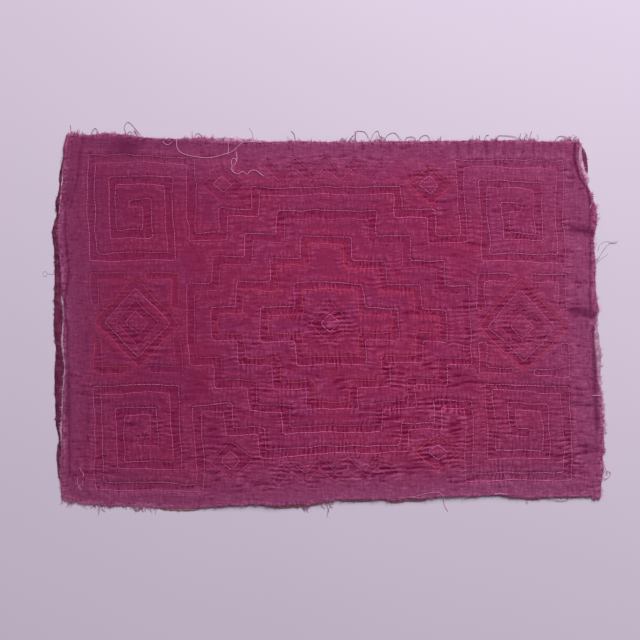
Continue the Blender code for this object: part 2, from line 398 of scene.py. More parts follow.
def toward_line(x, y, line):
    """How far a line of corners is from each point, along x and along y."""
    nearest = np.full(np.shape(x), 1e9)
    to_x = np.zeros(np.shape(x))
    to_y = np.zeros(np.shape(x))
    for i in range(0, len(line) - 2, 2):
        start_x, start_y, end_x, end_y = line[i:i + 4]
        run_x = end_x - start_x
        run_y = end_y - start_y
        share = ((x - start_x) * run_x + (y - start_y) * run_y) / (run_x**2 + run_y**2)
        share = np.clip(share, 0.0, 1.0)
        step_x = start_x + share * run_x - x
        step_y = start_y + share * run_y - y
        closer = np.hypot(step_x, step_y) < nearest
        to_x = np.where(closer, step_x, to_x)
        to_y = np.where(closer, step_y, to_y)
        nearest = np.where(closer, np.hypot(step_x, step_y), nearest)
    return to_x, to_y


def near_line(x, y, line, half_width):
    """1 on a line of corners, falling softly to 0 over its half width."""
    to_x, to_y = toward_line(x, y, line)
    return np.exp(-(to_x * to_x + to_y * to_y) / half_width**2)


def layer_sides(x, y, at_edge, inside, sag):
    """Heights of a layer's under and upper side: low at its raw edge, on the waves inside it."""
    inset = base_inset(x, y)
    risen = soft_step(inset, 0.0, EDGE_RISE)
    relief = resting_relief(x, y)
    curl = soft_noise(x / CURL_LENGTH + 3.0, y / CURL_LENGTH) - 0.5
    curl = CURL * curl * at_edge[0] * (1.0 - risen)
    hang = sag * np.clip(-inset, 0.0, SAGS_OVER)
    corner = soft_step(x, *PRESSED_PART)
    pressed = LIFTED * (1.0 - corner) * soft_step(x, *LIFTED_PART) - PRESSED_FLAT * corner
    pressed = 1.0 + pressed * soft_step(y, *LOWER_SIDE)
    return [
        edge * pressed * (1.0 - risen) + (middle + relief) * risen + curl - hang
        for edge, middle in zip(at_edge, inside)
    ]


def sheet_net(cells_across, cells_up, cells_each):
    """A closed sheet's net: a fine grid over a coarse one whose rim has the same points.

    Until it is laid out, x and y are shares from -0.5 to 0.5, and z is 1 on the upper side,
    0 on the under side and 0.5 halfway up the rim.
    """
    mesh = bmesh.new()
    bmesh.ops.create_grid(
        mesh, x_segments=cells_across // cells_each, y_segments=cells_up // cells_each, size=0.5
    )
    rim = [edge for edge in mesh.edges if edge.is_boundary]
    bmesh.ops.bisect_edges(mesh, edges=rim, cuts=cells_each - 1)
    under = mesh.faces[:]
    bmesh.ops.create_grid(mesh, x_segments=cells_across, y_segments=cells_up, size=0.5)
    below = set(under)
    upper = [face for face in mesh.faces if face not in below]
    for vert in {vert for face in upper for vert in face.verts}:
        vert.co.z = 1.0
    rim = [edge for edge in mesh.edges if edge.is_boundary]
    wall = bmesh.ops.bridge_loops(mesh, edges=rim)["faces"]
    upright = {
        edge for face in wall for edge in face.edges
        if abs(edge.verts[0].co.z - edge.verts[1].co.z) > 0.5
    }
    bmesh.ops.subdivide_edges(mesh, edges=list(upright), cuts=1)
    bmesh.ops.triangulate(mesh, faces=[face for face in under if len(face.verts) > 4])
    bmesh.ops.recalc_face_normals(mesh, faces=mesh.faces[:])
    return mesh


def lay_sheet(name, cells, outs, heights, ragged, seed, sewing=None):
    """A closed sheet of cloth laid in its place; sewing moves the points of its upper side."""
    mesh = sheet_net(*cells)
    data = bpy.data.meshes.new(name)
    mesh.to_mesh(data)
    mesh.free()
    net = np.empty(len(data.vertices) * 3)
    data.vertices.foreach_get("co", net)
    share_x, share_y, side = net.reshape(-1, 3).T
    x, y = lay_out(share_x + 0.5, share_y + 0.5, outs, ragged, seed)
    on_top = side > 0.75
    rise = np.zeros(len(side))
    if sewing is not None:
        x[on_top], y[on_top], rise[on_top] = sewing(data, x[on_top], y[on_top], on_top)
    low, high = layer_sides(x, y, *heights)
    thick = (high - low) * side + rise
    thin = on_top & (thick < THINNEST)
    thick = np.where(thin, THINNEST * np.exp(np.minimum(thick / THINNEST - 1.0, 0.0)), thick)
    z = low + thick
    bulge = RIM_BULGE * ((side > 0.25) & (side < 0.75))
    x = x + bulge * np.sign(share_x) * (np.abs(share_x) > 0.4999)
    y = y + bulge * np.sign(share_y) * (np.abs(share_y) > 0.4999)
    data.vertices.foreach_set("co", (np.stack([x, y, z], axis=1) * MM).ravel())
    data.polygons.foreach_set("use_smooth", [True] * len(data.polygons))
    data.update()
    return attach(put_in_scene(name, data), "root")


def weave(place, pitch):
    """Height of a plain weave, from -1 to 1, and the uneven thickness of its threads."""
    warp = place.stretched(1.4, 9.0, 40.0).noise(2.0)
    weft = place.stretched(8.0, 1.3, 40.0).noise(2.0)
    x = place.part(0)
    y = place.part(1)
    wave = math.tau / (2.0 * pitch)
    over_warp = x.math("SINE", x * wave + warp * THREADS_WANDER)
    over_weft = y.math("SINE", y * wave + weft * THREADS_WANDER)
    return over_warp * over_weft, warp + weft - 1.0


def plain_cotton(name, colours, faded, side, start, end):
    """Plain cotton for a layer that shows only as a strip: weave, slubs, paler places of wear, and
    the painted light and shade of small folds in the strip.

    colours: plain and paler, the paler one for wear and for the lit sides of the folds; faded: the
    same, lighter, where light is painted on to lift the strip out of the base cloth's shadow. The
    change runs from start to end in millimetres along x, for side 0, or y, for side 1.
    """
    material, shader, place = start_material(name, 0.9)
    over, slub = weave(place, THREAD_PITCH)
    # The patches and bands paint the light and shade of small folds in the strip, with its uneven tone.
    patches = place.stretched(7.0, 5.0, 7.0).noise(3.0)
    fold_light_and_shade = place.stretched(30.0, 9.0, 30.0).noise(1.0)
    fleck = place.stretched(1.5, 1.5, 3.0).noise(2.0)
    share = place.part(side).between(start, end)
    amount = patches.between(0.35, 0.75) * 0.6 + slub * 0.7 + (fleck - 0.5) * 0.8 + over * 0.06
    amount = amount + (fold_light_and_shade - 0.5) * 1.1
    colour = amount.mix(share.mix(colours[0], faded[0]), share.mix(colours[1], faded[1]))
    return finish_material(material, shader, colour, over * 0.03 + slub * 0.10 + fleck * 0.12)


# how far it stands out, its heights and sag, how ragged it is, and where its random values start
FACE_LAY = (
    (FACE_LEFT, FACE_RIGHT, FACE_BOTTOM, FACE_TOP),
    (FACE_AT_EDGE, FACE_INSIDE, 0.0), 0.5, 40.5,
)
face = lay_sheet("face_cotton", LOWER_CELLS, *FACE_LAY)
face.data.materials.append(
    plain_cotton("dark_wine_cotton", DARK_WINE, WINE_PAINTED_LIGHTER, 1, LIGHTER_FROM, LIGHTER_AT)
)
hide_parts("face_cloth")

# The middle layer: plain pale rose cotton, sewn in between the other two. Its raw, frayed edge
# looks out along the left side, at the upper right, along the right side and a little at the top.

MIDDLE_LEFT = (
    (14.0, TUCKED), (20.0, 0.3), (24.0, 0.9), (36.0, 0.9), (39.5, 1.4), (43.5, 0.7), (48.0, 1.0),
    (52.0, 0.9), (57.0, 0.9), (60.0, 1.1), (65.0, 0.5), (71.0, TUCKED), (112.0, TUCKED),
    (124.0, 0.3), (132.0, 1.1), (136.0, 0.8), (153.0, 1.0), (160.0, 1.7), (172.0, 1.3),
    (190.0, 1.1), (206.0, 0.8), (217.0, 0.7), (227.0, 1.0), (239.0, 0.7), (246.0, 0.3),
    (264.0, 0.3), (274.0, 0.4), (284.0, TUCKED),
)
MIDDLE_RIGHT = (
    (6.0, 1.7), (20.0, 2.8), (28.5, 2.8), (33.4, 3.6), (37.5, 2.1), (43.0, TUCKED),
    (131.0, TUCKED), (140.0, 1.6), (152.0, 2.5), (163.0, 4.3), (174.0, 3.8), (188.0, 2.7),
    (200.0, 1.4), (213.0, 2.0), (222.0, 1.8), (232.0, 2.0), (240.0, TUCKED),
)
MIDDLE_TOP = (
    (106.0, TUCKED), (112.0, 0.6), (120.0, 1.1), (124.5, 1.9), (128.5, 3.3), (136.0, 3.5),
    (143.0, 3.4), (147.0, 2.7), (156.0, 2.3), (162.0, 1.3), (168.0, 0.6), (176.0, TUCKED),
)
MIDDLE_BOTTOM = ((0.0, TUCKED), (400.0, TUCKED))
MIDDLE_AT_EDGE = (0.62, 1.05)
MIDDLE_INSIDE = (0.62, 0.98)
MIDDLE_SAG = 0.02
# plain and paler, then the same on the left of the panel, lighter: painted light that lifts the
# frayed edge out of the shadow of the base cloth's edge
PALE_ROSE = ((0.30, 0.145, 0.225, 1.0), (0.64, 0.385, 0.530, 1.0))
ROSE_PAINTED_LIGHTER = ((0.54, 0.27, 0.410, 1.0), (0.95, 0.620, 0.800, 1.0))
PALER_FROM, PALER_AT = -150.0, -195.0

# in the same order as for the face cloth
MIDDLE_LAY = (
    (MIDDLE_LEFT, MIDDLE_RIGHT, MIDDLE_BOTTOM, MIDDLE_TOP),
    (MIDDLE_AT_EDGE, MIDDLE_INSIDE, MIDDLE_SAG), 0.7, 71.5,
)
middle = lay_sheet("middle_cotton", LOWER_CELLS, *MIDDLE_LAY)
middle.data.materials.append(
    plain_cotton("pale_rose_cotton", PALE_ROSE, ROSE_PAINTED_LIGHTER, 0, PALER_FROM, PALER_AT)
)
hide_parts("middle_layer")

# The base cloth: plain wine-magenta cotton, the back of the work. Slits cut in the layers on its
# other side are hemmed through it, so two lines of stitching run along each slit, and the cloth
# sinks between them, swells outside them and gathers in small puckers across them.

# The slits' middle lines, in millimetres from the middle of the sewn field. The design is a
# stepped lozenge with key frets round it, diamonds and corner marks at the sides, and zigzags
# above and below.
FIELD_MIDDLE = (1.5, -2.5)
# corners of the closed slits in the upper right quarter, from the top round to the right
LOZENGES = (
    ((24.0, 29.0), (24.0, 10.0), (50.0, 10.0)),
    ((17.0, 66.0), (17.0, 48.0), (43.0, 48.0), (43.0, 29.0), (69.0, 29.0), (69.0, 10.0),
     (88.0, 10.0)),
    ((36.0, 86.0), (36.0, 67.0), (62.0, 67.0), (62.0, 48.0), (88.0, 48.0), (88.0, 29.0),
     (107.0, 29.0)),
)
# the key fret of the upper right quarter: from the middle of the field to the fret's heart
FRET = (
    (0.0, 104.0), (56.0, 104.0), (56.0, 86.0), (81.0, 86.0), (81.0, 67.0), (105.0, 67.0),
    (105.0, 127.0), (182.0, 127.0), (182.0, 52.0), (122.0, 52.0), (122.0, 110.0),
    (165.0, 110.0), (165.0, 69.0), (139.0, 69.0), (139.0, 92.0), (152.0, 92.0),
)
# middle x, middle y, half width and half height of the diamonds of the upper right quarter
DIAMONDS = (
    (150.0, 0.0, 30.0, 32.0), (150.0, 0.0, 13.0, 14.0), (0.0, 0.0, 11.0, 12.0),
    (81.0, 108.0, 12.0, 11.0),
)
# the two corner marks above the side diamond of the upper right quarter
CORNER_MARKS = (
    ((182.0, 13.0), (182.0, 37.0), (158.0, 37.0)), ((119.0, 13.0), (119.0, 37.0), (142.0, 37.0)),
)
# which thread sews each line, in turn
PALE_PINK, ROSE, CORAL = 0, 1, 2
THREAD_ORDER = (
    PALE_PINK, CORAL, PALE_PINK, CORAL, PALE_PINK, ROSE, PALE_PINK, ROSE, PALE_PINK, ROSE
)
ZIGZAG = tuple((11.5 * i, 126.0 if i % 2 == 0 else 115.0) for i in range(-4, 5))
# The stitching runs this far from the middle line of its slit, and is drawn in steps of this
# length. Its corners are rounded by smoothing them this many times.
HALF_SLIT = 3.0
STEP_ALONG = 0.7
CORNER_ROUNDING = 6
# A line lies up to half of this further out or in, slowly changing over this length
UNEVEN_SLIT = 1.5
UNEVEN_LENGTH = 13.0


def left_of(start, end):
    """The way to the left of a line, one unit long."""
    return (end - start).normalized().orthogonal()


def beside(corners, closed, out):
    """A line of stitching beside a slit, in short steps: x, y, place along the slit, way out."""
    count = len(corners)
    turned = []
    for i, corner in enumerate(corners):
        ways = []
        if closed or i > 0:
            ways.append(left_of(corners[i - 1], corner))
        if closed or i < count - 1:
            ways.append(left_of(corner, corners[(i + 1) % count]))
        turned.append(corner + (ways[0] + ways[-1]) * out / (1.0 + ways[0].dot(ways[-1])))
    rows = []
    place = 0.0
    for i in range(count if closed else count - 1):
        start, end = turned[i], turned[(i + 1) % count]
        way = left_of(corners[i], corners[(i + 1) % count]) * math.copysign(1.0, out)
        run = (corners[(i + 1) % count] - corners[i]).length
        steps = max(2, round((end - start).length / STEP_ALONG))
        for k in range(steps):
            point = start.lerp(end, k / steps)
            rows.append((point.x, point.y, place + run * k / steps, way.x, way.y))
        place += run
    return rows


def slit_end(start, end, place, way):
    """The short line of stitching across the end of an open slit."""
    steps = round((end - start).length / STEP_ALONG)
    points = [start.lerp(end, k / steps) for k in range(steps)]
    return [(point.x, point.y, place, way.x, way.y) for point in points]


def stitch_lines(corners, closed):
    """The lines of stitching round a slit: two on a closed one, one all round an open one."""
    corners = [Vector(corner) for corner in corners]
    left = beside(corners, closed, HALF_SLIT)
    right = beside(corners, closed, -HALF_SLIT)
    if closed:
        return [left, right]
    far_way = (corners[-1] - corners[-2]).normalized()
    near_way = (corners[0] - corners[1]).normalized()
    far = left_of(corners[-2], corners[-1]) * HALF_SLIT
    near = left_of(corners[0], corners[1]) * HALF_SLIT
    far_end = slit_end(corners[-1] + far, corners[-1] - far, left[-1][2], far_way)
    near_end = slit_end(corners[0] - near, corners[0] + near, 0.0, near_way)
    return [left + far_end + right[::-1] + near_end]


# The lower right of the design is drawn this much closer to the middle, the more the further
# right and down, between these places
DRAWN_UP = 10.0
DRAWN_UP_ACROSS = (-120.0, 80.0)
DRAWN_UP_DOWN = (-5.0, -125.0)


def wander(x, y):
    """Where hand work puts points of the drawn design."""
    moved_x = x + 0.9 * np.sin(0.031 * x + 0.9) * np.cos(0.037 * y + 0.4)
    moved_x = moved_x + 0.6 * np.sin(0.083 * y + 0.02 * x) - 0.03 * y
    moved_y = y + 0.9 * np.sin(0.029 * x + 0.045 * y + 1.1) + 0.5 * np.sin(0.091 * x + 2.0)
    moved_y = moved_y + DRAWN_UP * soft_step(x, *DRAWN_UP_ACROSS) * soft_step(y, *DRAWN_UP_DOWN)
    small = 1.1 * (soft_noise(x / 9.0 + 7.0, y / 9.0) - 0.5)
    small = small + 0.5 * (soft_noise(x / 3.7 + 29.0, y / 3.7) - 0.5)
    return moved_x + small + FIELD_MIDDLE[0], moved_y - 0.008 * x + small + FIELD_MIDDLE[1]


def all_slits():
    """Every slit of the design as its corners and whether it is closed."""
    slits = []
    for quarter in LOZENGES:
        right = list(quarter) + [(x, -y) for x, y in reversed(quarter)]
        slits.append((right + [(-x, y) for x, y in reversed(right)], True))
    for up in (1.0, -1.0):
        right = [(x, y * up) for x, y in FRET]
        left = [(-x, y) for x, y in reversed(right[1:])]
        slits.append((left + right, False))
        slits.append(([(x, y * up) for x, y in ZIGZAG], False))
    for x, y, half_width, half_height in DIAMONDS:
        for side in (1.0, -1.0) if x else (1.0,):
            for up in (1.0, -1.0) if y else (1.0,):
                middle_x, middle_y = x * side, y * up
                slits.append(([
                    (middle_x + half_width, middle_y), (middle_x, middle_y + half_height),
                    (middle_x - half_width, middle_y), (middle_x, middle_y - half_height),
                ], True))
    for mark in CORNER_MARKS:
        for side, up in ((1.0, 1.0), (-1.0, 1.0), (1.0, -1.0), (-1.0, -1.0)):
            slits.append(([(x * side, y * up) for x, y in mark], False))
    return slits


def sewn_lines():
    """Every line of stitching where it really runs, as an array of the rows that beside gives."""
    lines = []
    for corners, closed in all_slits():
        for rows in stitch_lines(corners, closed):
            line = np.array(rows)
            x, y = wander(line[:, 0], line[:, 1])
            seed = line[:, 2] * 0.0 + 3.7 * len(lines)
            aside = UNEVEN_SLIT * (soft_noise(line[:, 2] / UNEVEN_LENGTH, seed) - 0.5)
            x = x + aside * line[:, 3]
            y = y + aside * line[:, 4]
            for _ in range(CORNER_ROUNDING):
                x = (np.roll(x, 1) + 2.0 * x + np.roll(x, -1)) / 4.0
                y = (np.roll(y, 1) + 2.0 * y + np.roll(y, -1)) / 4.0
            way_x = np.roll(y, 1) - np.roll(y, -1)
            way_y = np.roll(x, -1) - np.roll(x, 1)
            turn = np.sign(way_x * line[:, 3] + way_y * line[:, 4])
            turn = turn / np.maximum(np.hypot(way_x, way_y), 1e-6)
            lines.append(np.stack([x, y, line[:, 2], way_x * turn, way_y * turn], axis=1))
    return lines


lines = sewn_lines()

# Narrow creases, pleats and pressed folds of the base cloth
# corners, then half width, depth and how much it is darkened: painted shade in the crease
CREASES = (
    ((-201.7, 41.5, -202.1, 34.5, -203.5, 24.4, -204.9, 14.2, -204.1, 3.3, -202.8, -6.8,
      -203.2, -17.7, -202.5, -31.8, -201.7, -45.8), 0.9, 0.60, 0.80),
    ((-202.4, -45.8, -202.4, -73.9), 1.9, 0.55, 0.70),
    ((-201.7, -73.9, -201.4, -97.3, -201.0, -120.7), 0.8, 0.50, 0.65),
    ((-190.9, 142.9, -193.2, 130.0, -195.4, 109.0, -201.0, 87.9), 0.9, 0.42, 0.50),
    ((-204.7, 86.0, -204.9, 74.0, -204.3, 62.0, -202.6, 50.0, -201.7, 41.5), 0.8, 0.40, 0.60),
    ((-207.2, 110.2, -202.5, 110.2), 0.9, 0.35, 0.80),
    ((192.9, 138.3, 192.1, 128.9, 193.3, 121.1, 196.1, 112.5, 198.4, 108.6, 201.5, 104.7,
      203.9, 96.1, 204.9, 90.0), 0.85, 0.75, 1.00),
    ((204.9, 90.0, 204.1, 73.5, 204.9, 63.0, 204.4, 16.6, 205.0, 2.0), 0.8, 0.45, 0.70),
    ((206.8, -6.0, 207.6, -30.0, 208.6, -60.0, 210.2, -84.0), 1.8, 0.48, 0.78),
    ((190.0, 71.4, 200.0, 70.2, 208.5, 67.8), 2.5, 0.60, 0.80),
    ((196.0, 70.6, 202.0, 69.9, 209.5, 67.4), 1.1, 0.40, 1.00),
    ((190.0, 8.4, 201.0, 6.4, 211.0, 4.0), 2.8, 0.60, 0.75),
    ((199.0, 4.6, 210.5, 3.0), 1.3, 0.30, 0.90),
    ((188.0, -64.5, 211.0, -66.5), 1.4, 0.45, 0.60),
    ((199.0, -102.0, 211.0, -100.5), 2.0, 0.30, 0.45),
    ((48.4, 140.5, 48.6, 130.0), 1.1, 0.32, 0.40),
    ((101.0, 140.5, 101.2, 129.0), 1.1, 0.36, 0.50),
    ((110.5, 140.5, 110.2, 130.0), 1.0, 0.34, 0.48),
    ((124.0, 140.5, 123.8, 130.0), 1.0, 0.34, 0.48),
    ((130.5, 140.5, 131.0, 131.0), 0.9, 0.20, 0.28),
    ((137.7, 140.5, 137.5, 130.0), 1.0, 0.32, 0.45),
    ((145.0, 140.5, 144.6, 130.5), 1.0, 0.28, 0.36),
    ((152.5, 140.5, 152.2, 131.0), 0.9, 0.20, 0.28),
    ((160.5, 140.5, 160.3, 129.5), 1.0, 0.34, 0.48),
    ((168.0, 140.5, 168.2, 130.5), 1.0, 0.28, 0.38),
    ((27.6, 137.0, 27.6, 133.5), 1.0, 0.15, 0.70),
    ((173.4, 139.5, 173.6, 137.0), 1.0, 0.15, 0.70),
    ((157.0, -118.5, 158.0, -128.0), 1.3, 0.30, 0.35),
    ((188.3, -47.0, 188.5, -70.0), 1.2, 0.22, 0.25),
    ((194.5, -45.0, 194.3, -66.0), 1.2, 0.18, 0.20),
    ((-186.5, -56.0, -186.8, -93.0), 1.2, 0.22, 0.25),
)
# middle x, middle y, half width, half height and strength of stains
STAINS = (
    (-157.0, 136.0, 13.0, 7.0, 0.8), (-120.0, 139.0, 16.0, 4.0, 0.4),
    (-202.0, 101.0, 5.0, 12.0, 0.3), (205.0, 6.0, 6.0, 5.0, 0.5), (75.0, -13.8, 2.4, 2.0, 0.9),
    (203.0, -99.0, 7.0, 6.0, 0.3), (-70.0, 138.0, 20.0, 3.0, 0.3),
)
# middle x, middle y and half size of the places that the stitches gather most
GATHERED = (
    (0.0, 0.0, 34.0), (-148.0, -2.0, 26.0), (152.0, -3.0, 26.0), (-140.0, 82.0, 20.0),
    (142.0, 80.0, 20.0), (-142.0, -88.0, 20.0), (140.0, -90.0, 20.0),
)
GATHERED_MORE = 0.55
# The gathers are deeper towards the lower edge, and shallower at the far left and right
LOWER_GATHERS = (50.0, -100.0)
SHALLOW_LEFT, LEFT_PART = 0.46, (-40.0, -120.0)
SHALLOW_RIGHT, RIGHT_PART = 0.22, (110.0, 150.0)
# The cloth sinks in the slits and along the lines, and swells a little outside them
SLIT_SINKS = 0.32
LINE_SINKS = 0.22
LINE_WIDTH = 0.95
SWELL_HEIGHT = 0.24
SWELL_AWAY = 3.0
SWELL_WIDTH = 2.4
# the puckers that run across upright and slanting lines: distance from one to the next, height,
# and how far from a line they reach
PUCKER_PITCH = 3.5
PUCKER_HEIGHT = 0.60
PUCKER_REACH = 7.5
# the small upright puckers beside level lines
UPRIGHT_PITCH = 3.3
UPRIGHT_HEIGHT = 0.40
UPRIGHT_REACH = 4.6
# long level wrinkles that cross the cloth between the lines, more of them by the right edge
WRINKLE_PITCH = 5.6
SECOND_PITCH = 3.3
WRINKLE_HEIGHT = 0.50
WRINKLED_RIGHT, RIGHT_EDGE = 0.45, (170.0, 188.0)
CRUMPLE_HEIGHT = 0.20
# The relief comes up over this distance from the raw edge, and the wrinkles grow to their full
# height between these two distances from it
FIRM_EDGE = 3.0
SEWN_FIELD = (4.0, 14.0)
# Painted shade lies this many times as wide as the crease it darkens, and the margins have faded
# over this distance from the raw edge
CREASE_SHADE_WIDER = 1.2
FADED_MARGIN = 24.0
# A point moves on to a line that passes it within this share of a cell
CATCH = 0.505
# Cells across and up, and how many make one side of a coarse cell of the under side
BASE_CELLS = (300, 290, 5)
BASE_AT_EDGE = (1.18, 1.62)
BASE_INSIDE = (1.15, 2.35)
# The other layers' outlines are measured from this cloth's, so it stands out nowhere itself
ON_THE_NET = (((0.0, 0.0), (1.0, 0.0)),) * 4
BASE_LAY = (ON_THE_NET, (BASE_AT_EDGE, BASE_INSIDE, 0.0), 0.6, 5.5)


def nearest_stitching(x, y):
    """The nearest line of stitching: how far away it is, less than 0 in a slit, its way out, and
    its thread.
    """
    rows = np.concatenate(lines)
    threads = np.concatenate([
        np.full(len(line), THREAD_ORDER[number % len(THREAD_ORDER)])
        for number, line in enumerate(lines)
    ])
    tree = kdtree.KDTree(len(rows))
    for i, row in enumerate(rows):
        tree.insert((row[0], row[1], 0.0), i)
    tree.balance()
    found = [tree.find((a, b, 0.0))[1:] for a, b in zip(x.tolist(), y.tolist())]
    nearest, distance = np.array(found).T
    near_x, near_y, _, way_x, way_y = rows[nearest.astype(int)].T
    out = (x - near_x) * way_x + (y - near_y) * way_y
    onward = (y - near_y) * way_x - (x - near_x) * way_y
    onward = np.clip(onward, -STEP_ALONG / 2.0, STEP_ALONG / 2.0)
    away = np.sqrt(np.maximum(distance**2 - onward**2, 0.0)) * np.sign(out)
    return away, way_x, way_y, threads[nearest.astype(int)]


def valleys(across, sharpness):
    """Narrow valleys one unit apart, 1 at their bottoms and 0 on the broad ridges between."""
    return (0.5 + 0.5 * np.cos(math.tau * across)) ** sharpness


def move_on_to_lines(x, y, away, way_x, way_y):
    """x, y and away, with the points moved on to the stitching and creases that pass close by."""
    cell_x = PANEL_WIDTH / BASE_CELLS[0]
    cell_y = PANEL_HEIGHT / BASE_CELLS[1]
    catch = CATCH * np.maximum(np.abs(way_x) * cell_x, np.abs(way_y) * cell_y)
    caught = np.where(np.abs(away) < catch, away, 0.0)
    x = x - caught * way_x
    y = y - caught * way_y
    away = away - caught
    for corners, _, _, _ in CREASES:
        to_x, to_y = toward_line(x, y, corners)
        reach = np.maximum(np.abs(to_x) * cell_x, np.abs(to_y) * cell_y)
        close = to_x * to_x + to_y * to_y < CATCH * reach
        close = close & (np.abs(away) > catch)
        x = np.where(close, x + to_x, x)
        y = np.where(close, y + to_y, y)
    return x, y, away


def gathering(x, y, in_slit):
    """How much the stitches gather the cloth, and how deep its puckers are in this place."""
    gathered = 0.55 + 0.75 * soft_noise(x / 23.0 + 2.0, y / 19.0 + 60.0)
    for middle_x, middle_y, half_size in GATHERED:
        far = ((x - middle_x) ** 2 + (y - middle_y) ** 2) / half_size**2
        gathered = gathered + GATHERED_MORE * np.exp(-far * far)
    shallow = SHALLOW_LEFT * soft_step(x, *LEFT_PART) + SHALLOW_RIGHT * soft_step(x, *RIGHT_PART)
    deep = (0.70 + 0.65 * soft_step(y, *LOWER_GATHERS)) * (1.0 - shallow)
    return gathered * (1.0 + 0.35 * in_slit), deep


def level_puckers(x, y):
    """The puckers across upright and slanting lines, as a share of their height."""
    phase = y / PUCKER_PITCH + 0.9 * soft_noise(x / 12.0 + 30.0, y / 9.0)
    phase = phase + 0.4 * soft_noise(x / 4.5, y / 14.0 + 12.0)
    fading = 0.25 + 0.75 * soft_step(soft_noise(x / 8.0 + 8.0, y / 4.0 + 21.0), 0.2, 0.75)
    return (0.30 - valleys(phase, 2.0)) * fading


def upright_puckers(x, y):
    """The small puckers across level lines, as a share of their height."""
    phase = x / UPRIGHT_PITCH + 0.9 * soft_noise(y / 12.0 + 40.0, x / 9.0)
    phase = phase + 0.4 * soft_noise(y / 4.0, x / 13.0 + 17.0)
    fading = 0.2 + 0.8 * soft_step(soft_noise(y / 7.0 + 18.0, x / 4.5 + 5.0), 0.2, 0.8)
    return (0.34 - valleys(phase, 1.6)) * fading


def level_wrinkles(x, y):
    """Long level wrinkles in two sizes, broken into short runs, as a share of their height."""
    drift = 1.6 * soft_noise(x / 30.0, y / 17.0 + 31.0)
    drift = drift + 0.5 * soft_noise(x / 9.0, y / 8.0 + 44.0)
    runs = soft_step(soft_noise(x / 11.0 + 11.0, y / 4.2 + 9.0), 0.40, 0.80)
    wrinkle = valleys(y / WRINKLE_PITCH + drift, 3.0) * runs
    runs = soft_step(soft_noise(x / 7.0 + 80.0, y / 3.0 + 53.0), 0.40, 0.80)
    wrinkle = wrinkle + 0.7 * valleys(y / SECOND_PITCH + 1.3 * drift, 2.2) * runs
    where = soft_step(soft_noise(x / 30.0 + 5.0, y / 22.0 + 19.0), 0.2, 0.7)
    more = 1.0 + WRINKLED_RIGHT * soft_step(x, *RIGHT_EDGE)
    return (0.24 - wrinkle) * (0.35 + 0.65 * where) * more


def wear_and_painted_light(x, y, inset, swelling):
    """How much wear, fading and fraying the cloth has in each place, and where light and shade are
    painted on it: paler on the swells beside the lines (wear and painted highlight) and along the
    lower margin (painted light); darker towards the left and at the lower right, and painted shade
    at the top.

    Each place is given by where it starts and ends, in millimetres from the panel's middle.
    """
    # Paler along the lower margin: painted light
    lower_margin_light = soft_step(y, -122.0, -136.0) * (0.3 + 0.7 * soft_step(x, -60.0, 60.0))
    margin = np.exp(-((np.maximum(inset, 0.0) / FADED_MARGIN) ** 1.5))
    right_half = soft_step(x, 60.0, 190.0)
    frayed_to = 3.2 + 1.8 * soft_step(x, -195.0, -200.0) + 3.4 * soft_step(x, 195.0, 200.0)
    left = 1.0 - soft_step(x + 0.25 * y, -190.0, 10.0)
    left = left * (1.0 - 0.35 * soft_step(y, -70.0, -125.0))
    left = left * (1.0 - 0.5 * soft_step(y, -118.0, -134.0))
    left = left * (1.0 - 0.4 * soft_step(x, -182.0, -200.0))
    # Darker at the top: painted shade
    top = soft_step(y, 50.0, 110.0)
    lower_right = soft_step(x, 110.0, 170.0) * soft_step(x, 190.0, 176.0)
    lower_right = lower_right * soft_step(y, 20.0, -40.0) * soft_step(y, -130.0, -112.0)
    return {
        "worn_and_lit": 0.26 * (swelling + lower_margin_light),
        "faded": np.minimum(1.0, margin + 0.28 * right_half),
        "frayed": 1.0 - soft_step(inset, 0.3, frayed_to),
        "darker_and_shaded": left + 0.38 * top + 0.35 * lower_right,
    }


